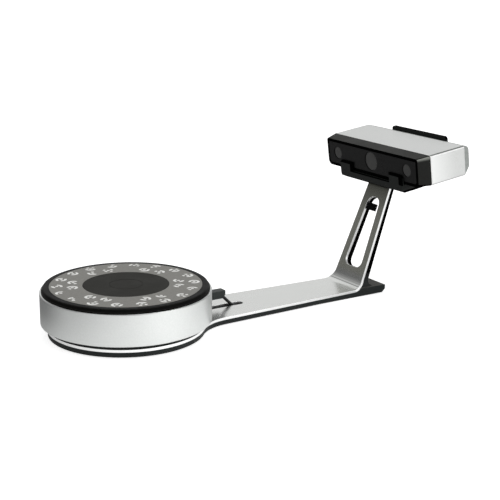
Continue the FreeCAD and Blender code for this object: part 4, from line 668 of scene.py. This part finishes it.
# Pieces that keep their CAD form, with softened edges
softLooks = {
    "front_panel": {"name": "panelPlate", "width": 0.4 * mm},
    "rear_cover": {"name": "rearShell", "width": 0.25 * mm},
    "turntable_base": {"name": "turntablePan", "width": 0.25 * mm},
    "lead_plug": {"name": "leadPlug", "width": 0.6 * mm, "finish": "plug_plastic"},
    "parked_plug": {"name": "parkedPlug", "width": 0.4 * mm, "finish": "parked_black"},
    "rear_foot_pad": {"name": "rearFoot", "width": 0.3 * mm},
    "turntable_ring": {"name": "turntableRing", "width": 0.3 * mm, "finish": "ring_aluminium",
                       "bevel": {"angle": 50.0, "least": 0.5 * mm}},
    "platter": {"name": "platterDisc", "width": 0.3 * mm},
}
for node, look in softLooks.items():
    bm = meshOfNode(node)
    softenEdges(bm, look["width"], **look.get("bevel", {}))
    finishPiece(bm, look["name"], node, look.get("finish", slotOf[node]))
print("plain pieces softened")


# Cradle: painted shade beside and above the hooks and in the gap above the lip is cut in as bands of faces
cradleLook = {
    "name": "cradleShell", "edge": 0.5 * mm, "leastEdge": 1.0 * mm, "front": -18.0 * mm, "squareOn": -0.9,
    "outer": 68.4 * mm, "inner": 39.1 * mm, "nearBand": 9.2 * mm, "farBand": 7.2 * mm, "topBand": -32.2 * mm,
    "lipBand": -42.9 * mm, "wall": 1.0 * mm, "wallFacing": -0.5, "reach": -8.0 * mm, "frameTop": -3.0 * mm,
    "under": -0.45,
}


def makeCradle():
    look = cradleLook
    bm = meshOfNode("cradle")
    inner = look["inner"]
    nearEnd = look["nearBand"] - look["outer"]
    farEnd = inner + look["farBand"]

    def frontFace(centre, normal):
        return normal.x < look["squareOn"] and centre.x < look["front"]

    for y in (nearEnd, -inner, inner, farEnd):
        cutAcross(bm, (0, y, 0), (0, 1, 0), frontFace)
    for b in (look["topBand"], look["lipBand"]):
        cutAcross(bm, (0, 0, b), (0, 0, 1), frontFace)
    # Painted shade: the bands, the far wall, the undersides and the frame above the head take the near-black
    # shaded_gap finish
    for face in bm.faces:
        centre, normal = seenFromHead(face)
        aboveLip = centre.z > look["lipBand"] and normal.x < look["squareOn"]
        shadeBand = aboveLip and (centre.y < nearEnd or -inner < centre.y < farEnd)
        farWall = normal.y < look["wallFacing"] and abs(centre.y - inner) < look["wall"]
        shaded = centre.x < look["reach"] and (shadeBand or farWall or centre.z > look["topBand"])
        shaded = shaded or centre.z > look["frameTop"] or face.normal.z < look["under"]
        face.material_index = 1 if shaded else 0
    softenEdges(bm, look["edge"], least=look["leastEdge"])
    finishPiece(bm, look["name"], "cradle", "cradle_black", "shaded_gap")


makeCradle()
print("cradle made")


# Bezel: painted shade on its front rim and underside, and sides painted lighter where light falls on them
bezelLook = {"name": "bezelShell", "edge": 0.4 * mm, "front": -18.0 * mm, "squareOn": -0.9, "under": -0.45,
             "sideFacing": 0.6}


def makeBezel():
    look = bezelLook
    bm = meshOfNode("front_bezel")
    for face in bm.faces:
        centre, normal = seenFromHead(face)
        rim = centre.x < look["front"] and normal.x < look["squareOn"]
        side = abs(normal.y) > look["sideFacing"]
        # rim and underside take the painted shade of shaded_gap, sides the lighter bezel_side finish with its
        # painted streak of light
        face.material_index = 1 if rim or face.normal.z < look["under"] else 2 if side else 0
    softenEdges(bm, look["edge"])
    finishPiece(bm, look["name"], "front_bezel", "bezel_black", "shaded_gap", "bezel_side")


makeBezel()
print("bezel made")


# Sleeve: its rounded long edges are painted with a shade line turning into a painted highlight, and its front rim
# is painted bright as a highlight
sleeveLook = {"name": "sleeveShell", "width": 0.45 * mm, "rim": 1.4 * mm, "corner": 98.0 * mm,
              "shade": (0.66, 0.985), "glint": 0.2, "rimFacing": -0.1}


def makeSleeve():
    look = sleeveLook
    bm = meshOfNode("head_sleeve")
    cutAcross(bm, (look["rim"], 0, 0), (1, 0, 0), lambda centre, normal: True)
    shadeLow, shadeHigh = look["shade"]
    for face in bm.faces:
        centre, normal = seenFromHead(face)
        if abs(centre.y) > look["corner"] and look["glint"] < normal.z < shadeHigh:
            face.material_index = 1 if normal.z > shadeLow else 2
    softenEdges(bm, look["width"])
    for face in bm.faces:
        centre, normal = seenFromHead(face)
        if centre.x < look["rim"] and (normal.x < look["rimFacing"] or abs(normal.y) > shadeLow):
            face.material_index = 2
    finishPiece(bm, look["name"], "head_sleeve", "sleeve_aluminium", "shade_line", "glint_line")


makeSleeve()
print("sleeve made")


# Stand liner: its post is painted in shade, and the top of its heel is painted lighter, as lit from above
def makeStandLiner():
    look = linerLook
    bm = meshOfNode("stand_liner")
    geom = bm.verts[:] + bm.edges[:] + bm.faces[:]
    bmesh.ops.bisect_plane(bm, geom=geom, plane_co=(0, 0, look["postStart"]), plane_no=(0, 0, 1),
                           dist=meshLook["cut"])
    for face in bm.faces:
        centre = face.calc_center_median()
        heelTop = centre.x > look["heelStart"] and face.normal.z > look["heelFacing"]
        # post faces take the painted shade of shaded_gap; the heel's upward faces take heel_top, painted lighter
        # as lit
        face.material_index = 1 if centre.z > look["postStart"] else 2 if heelTop else 0
    softenEdges(bm, look["width"], least=look["width"])
    finishPiece(bm, look["name"], "stand_liner", "liner_base", "shaded_gap", "heel_top")


makeStandLiner()
print("stand liner made")


# Stand plate: satin faces, bright cut edges, and a painted highlight on the walls in the post's slot
plateLook = {"name": "standPlate", "edge": 0.35 * mm, "lean": 21.6, "bendStart": 324.7 * mm,
             "postStart": 30.0 * mm, "slotHalf": 12.0 * mm, "armEdge": 0.3, "bendEdge": 0.25, "postEdge": 0.5}


def makeStandPlate():
    look = plateLook
    bm = meshOfNode("stand_plate")
    lean = math.radians(look["lean"])
    postNormal = Vector((-math.cos(lean), 0, math.sin(lean)))
    for face in bm.faces:
        centre = face.calc_center_median()
        onPost = centre.z > look["postStart"]
        side = abs(face.normal.y) > look["bendEdge"]
        if centre.x < look["bendStart"]:
            side = abs(face.normal.z) < look["armEdge"]
        elif onPost:
            side = abs(face.normal.dot(postNormal)) < look["postEdge"]
        inSlot = onPost and abs(centre.y) < look["slotHalf"]
        # walls in the slot take glint_line, a painted highlight
        face.material_index = 0 if not side else 2 if inSlot else 1
    softenEdges(bm, look["edge"])
    finishPiece(bm, look["name"], "stand_plate", "satin_aluminium", "cut_edge", "glint_line")


makeStandPlate()
print("stand plate made")


# Turned pieces on the platter
turnedLook = {"steps": 192, "rounding": 0.12 * mm, "gap": 0.1 * mm, "grooveHalf": 0.4 * mm,
              "grooveRadius": 20.5 * mm, "grooveDepth": 0.3 * mm}


def makeMarkerRing():
    low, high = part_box("marker_ring")
    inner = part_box("centre_pad")[1].x + turnedLook["gap"]
    bm = bmesh.new()
    lathe(bm, [(inner, low.z), (high.x, low.z), (high.x, high.z), (inner, high.z)], turnedLook["steps"],
          turnedLook["rounding"])
    finishPiece(bm, "markerPlate", "marker_ring")


def makeCentrePad():
    low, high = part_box("centre_pad")
    middle, half, depth = (turnedLook[key] for key in ("grooveRadius", "grooveHalf", "grooveDepth"))
    bm = bmesh.new()
    lathe(bm, [(0, high.z), (middle - half, high.z), (middle - half, high.z - depth),
               (middle + half, high.z - depth), (middle + half, high.z), (high.x, high.z), (high.x, low.z),
               (0, low.z)], turnedLook["steps"], turnedLook["rounding"], closed=False)
    finishPiece(bm, "centrePad", "centre_pad")


makeMarkerRing()
makeCentrePad()
print("platter tops turned")


# Screws: each head keeps its CAD place and gains a hexagon socket
screwLook = {"corners": 6, "share": 0.5, "depth": 0.55, "edge": 0.12 * mm, "leastSides": 12}


def islandsOf(bm):
    left = set(bm.faces)
    while left:
        found, island = [left.pop()], []
        while found:
            face = found.pop()
            island.append(face)
            for edge in face.edges:
                for other in edge.link_faces:
                    if other in left:
                        left.discard(other)
                        found.append(other)
        yield island


def cutSocket(bm, face):
    centre = face.calc_center_median()
    normal = face.normal.copy()
    radius = math.sqrt(face.calc_area() / math.pi)
    rim = face.edges[:]
    side = (face.verts[0].co - centre).normalized()
    across = normal.cross(side)
    corners = screwLook["corners"]
    turns = [math.radians(360 / corners * step) for step in range(corners)]
    outline = [(side * math.cos(turn) + across * math.sin(turn)) * radius * screwLook["share"] for turn in turns]
    upper, lower = ([bm.verts.new(centre - normal * sink + point) for point in outline]
                    for sink in (0.0, screwLook["depth"] * radius))
    pairs = [(k, (k + 1) % corners) for k in range(corners)]
    top = [bm.edges.new((upper[k], upper[after])) for k, after in pairs]
    bmesh.ops.delete(bm, geom=[face], context="FACES_ONLY")
    bmesh.ops.bridge_loops(bm, edges=rim + top)
    for k, after in pairs:
        bm.faces.new((upper[k], lower[k], lower[after], upper[after]))
    bm.faces.new(lower)


def makeScrews(node, name):
    bm = meshOfNode(node)
    heads = []
    for island in islandsOf(bm):
        flats = [face for face in island if len(face.verts) >= screwLook["leastSides"]]
        if flats:
            heads.append(max(flats, key=lambda face: face.calc_area()))
    for face in heads:
        cutSocket(bm, face)
    bmesh.ops.recalc_face_normals(bm, faces=bm.faces)
    softenEdges(bm, screwLook["edge"], segments=1)
    finishPiece(bm, name, node)
    print(name, "sockets cut:", len(heads))


for node, name in (("rear_screws", "rearScrews"), ("cradle_screws", "cradleScrews"),
                   ("liner_screws", "linerScrews"), ("turntable_screws", "turntableScrews")):
    makeScrews(node, name)
print("screws made")


# Power button with a dished face
buttonLook = {"name": "powerButton", "width": 0.15 * mm, "dish": 0.14 * mm, "share": 0.78, "squareOn": 0.9}


def makePowerButton():
    look = buttonLook
    bm = meshOfNode("power_button")
    outer = [face for face in bm.faces if seenFromHead(face)[1].x > look["squareOn"]]
    face = max(outer, key=lambda f: seenFromHead(f)[0].x)
    normal = face.normal.copy()
    rim = math.sqrt(face.calc_area() / math.pi) * (1 - look["share"])
    bmesh.ops.inset_individual(bm, faces=[face], thickness=rim, depth=0.0)
    bmesh.ops.translate(bm, verts=face.verts, vec=-normal * look["dish"])
    softenEdges(bm, look["width"])
    finishPiece(bm, look["name"], "power_button")


makePowerButton()
print("button made")


# Windows in the panel: turned discs, laid with their axis along the head's depth
windowLook = {"rounding": 0.25 * mm, "rim": 0.7 * mm, "steps": 96, "level": -20.7 * mm,
              "upright": ((0, 0, 1, 0), (0, 1, 0, 0), (-1, 0, 0, 0), (0, 0, 0, 1)),
              "places": (("camera_windows", "cameraWindows", (-75.0 * mm, 75.0 * mm)),
                         ("projector_window", "projectorWindow", (0.0,)))}


def makeWindows():
    look = windowLook
    for node, name, places in look["places"]:
        corners = [toHead @ v.co for v in frame["nodes"][node].data.vertices]
        front, back = min(c.x for c in corners), max(c.x for c in corners)
        radius = (max(c.z for c in corners) - min(c.z for c in corners)) / 2
        bm = bmesh.new()
        for y in places:
            disc = bmesh.new()
            lathe(disc, [(0, front), (radius, front), (radius, back), (0, back)], look["steps"],
                  look["rounding"], closed=False)
            touch = disc.faces.layers.float.new("edgeTouch")
            # faces near the rim are marked for the painted shade round the glass's rim
            for face in disc.faces:
                face[touch] = 1.0 if face.calc_center_median().xy.length > radius - look["rim"] else 0.0
            turn = headPlace @ Matrix.Translation((0, y, look["level"])) @ Matrix(look["upright"])
            bmesh.ops.transform(disc, matrix=turn, verts=disc.verts)
            part = bpy.data.meshes.new("windowPart")
            disc.to_mesh(part)
            disc.free()
            bm.from_mesh(part)
            bpy.data.meshes.remove(part)
        finishPiece(bm, name, node)


makeWindows()
print("windows made")


# Stage: pale floor, even studio surround with one dark side, two soft lamps
stageLook = {"floorSize": 40.0, "floorColour": (0.8, 0.8, 0.8, 1), "floorLift": 0.72, "floorRough": 0.9,
             "surround": 0.4, "darkLevel": 0.28}
darkLook = {"towards": (-0.6, 0.8, 0.05), "inner": 27.0, "outer": 38.0}
flagLook = {"place": (-0.17, 0.22, 0.0), "inner": 0.08, "outer": 0.22, "level": 0.65}
cardLooks = (
    {"place": (0.04, -0.27, 0.0), "inner": 0.05, "outer": 0.42, "level": 1.0},
    {"place": (0.9, -0.85, 0.0), "inner": 0.1, "outer": 0.8, "level": 0.9},
)
glowLooks = {
    "frontRight": {"towards": (0.47, -0.84, 0.1), "inner": 5.0, "outer": 45.0, "level": 0.9},
    "backRight": {"towards": (0.55, 0.8, 0.3), "inner": 12.0, "outer": 50.0, "level": 0.52},
    "overBend": {"towards": (0.05, 0.75, 0.66), "inner": 4.0, "outer": 30.0, "level": 0.2},
    "nearSide": {"towards": (-0.85, -0.5, 0.3), "inner": 8.0, "outer": 34.0, "level": 0.8},
    "postShade": {"towards": (-0.6, 0.8, 0.05), "inner": 6.0, "outer": 26.0, "level": -0.12},
}
lampLooks = {
    "overheadLamp": {"place": (0.8, -0.1, 2.1), "aim": (0.15, 0, 0.1), "size": 1.1, "power": 9.0},
    "sideLamp": {"place": (1.0, -1.8, 0.9), "aim": (0.1, 0, 0.1), "size": 1.2, "power": 6.0},
}


def makeFloor():
    bm = bmesh.new()
    bmesh.ops.create_grid(bm, x_segments=2, y_segments=2, size=stageLook["floorSize"] / 2)
    mesh = bpy.data.meshes.new("studioFloor")
    bm.to_mesh(mesh)
    bm.free()
    floor = bpy.data.objects.new("studioFloor", mesh)
    bpy.context.scene.collection.objects.link(floor)
    material = bpy.data.materials.new("studioFloor")
    material.use_nodes = True
    tree = material.node_tree
    shader = tree.nodes["Principled BSDF"]
    path = addNode(tree, "ShaderNodeLightPath")
    seen = maths(tree, "MAXIMUM", path.outputs["Is Camera Ray"], path.outputs["Is Transmission Ray"])
    lift = maths(tree, "MULTIPLY", seen, stageLook["floorLift"])
    where = addNode(tree, "ShaderNodeTexCoord").outputs["Object"]

    def patch(place, inner, outer, level):  # seen in reflections alone
        away = addNode(tree, "ShaderNodeVectorMath", operation="DISTANCE")
        feed(tree, where, away.inputs[0])
        away.inputs[1].default_value = place
        spread = ramp(tree, away.outputs["Value"], inner, outer, level, 0.0, smooth=False)
        return maths(tree, "MULTIPLY", path.outputs["Is Glossy Ray"], spread)

    for card in cardLooks:
        lift = maths(tree, "ADD", lift, patch(**card))
    tone = blendColour(tree, patch(**flagLook), stageLook["floorColour"], (0, 0, 0, 1))
    feed(tree, tone, shader.inputs["Base Color"])
    setInputs(shader, {"Roughness": stageLook["floorRough"], "Specular IOR Level": 0.0,
                       "Emission Color": (1, 1, 1, 1)})
    feed(tree, lift, shader.inputs["Emission Strength"])
    mesh.materials.append(material)


def directionMask(tree, direction, towards, inner, outer):
    node = addNode(tree, "ShaderNodeVectorMath", operation="DOT_PRODUCT")
    feed(tree, direction, node.inputs[0])
    node.inputs[1].default_value = Vector(towards).normalized()
    return ramp(tree, node.outputs["Value"], math.cos(math.radians(outer)), math.cos(math.radians(inner)))


def makeSurround():
    world = bpy.data.worlds.new("studioSurround")
    world.use_nodes = True
    bpy.context.scene.world = world
    tree = world.node_tree
    background = tree.nodes["Background"]
    background.inputs["Color"].default_value = (1, 1, 1, 1)
    direction = addNode(tree, "ShaderNodeTexCoord").outputs["Generated"]
    dark = directionMask(tree, direction, **darkLook)
    level = ramp(tree, dark, 0.0, 1.0, stageLook["surround"], stageLook["darkLevel"], smooth=False)
    for look in glowLooks.values():
        glow = directionMask(tree, direction, look["towards"], look["inner"], look["outer"])
        level = maths(tree, "MULTIPLY_ADD", glow, look["level"], level)
    path = addNode(tree, "ShaderNodeLightPath")
    seen = maths(tree, "MAXIMUM", path.outputs["Is Camera Ray"], path.outputs["Is Transmission Ray"])
    feed(tree, ramp(tree, seen, 0.0, 1.0, level, 1.0, smooth=False), background.inputs["Strength"])


def makeLamps():
    for name, look in lampLooks.items():
        light = bpy.data.lights.new(name, "AREA")
        light.shape = "DISK"
        light.size = look["size"]
        light.energy = look["power"]
        lamp = bpy.data.objects.new(name, light)
        lamp.location = look["place"]
        lamp.rotation_mode = "QUATERNION"
        away = Vector(look["place"]) - Vector(look["aim"])
        lamp.rotation_quaternion = away.to_track_quat("Z", "Y")
        bpy.context.scene.collection.objects.link(lamp)


makeFloor()
makeSurround()
makeLamps()
print("stage set")


# Camera
cameraLook = {"place": (-0.62096, -1.25056, 0.47921), "target": (0.18, 0.00087, 0.07923), "roll": 0.45,
              "lens": 85.397, "sensor": 36.0, "clip": (0.05, 100.0)}


def makeCamera():
    look = cameraLook
    data = bpy.data.cameras.new("productCamera")
    data.lens = look["lens"]
    data.sensor_width = look["sensor"]
    data.clip_start, data.clip_end = look["clip"]
    camera = bpy.data.objects.new("productCamera", data)
    back = (Vector(look["place"]) - Vector(look["target"])).normalized()
    right = Vector((0, 0, 1)).cross(back).normalized()
    turn = Matrix((right, back.cross(right), back)).transposed().to_4x4()
    roll = Matrix.Rotation(math.radians(look["roll"]), 4, "Z")
    camera.matrix_world = Matrix.Translation(look["place"]) @ turn @ roll
    bpy.context.scene.collection.objects.link(camera)
    bpy.context.scene.camera = camera


makeCamera()
bpy.context.scene.view_settings.view_transform = "Standard"
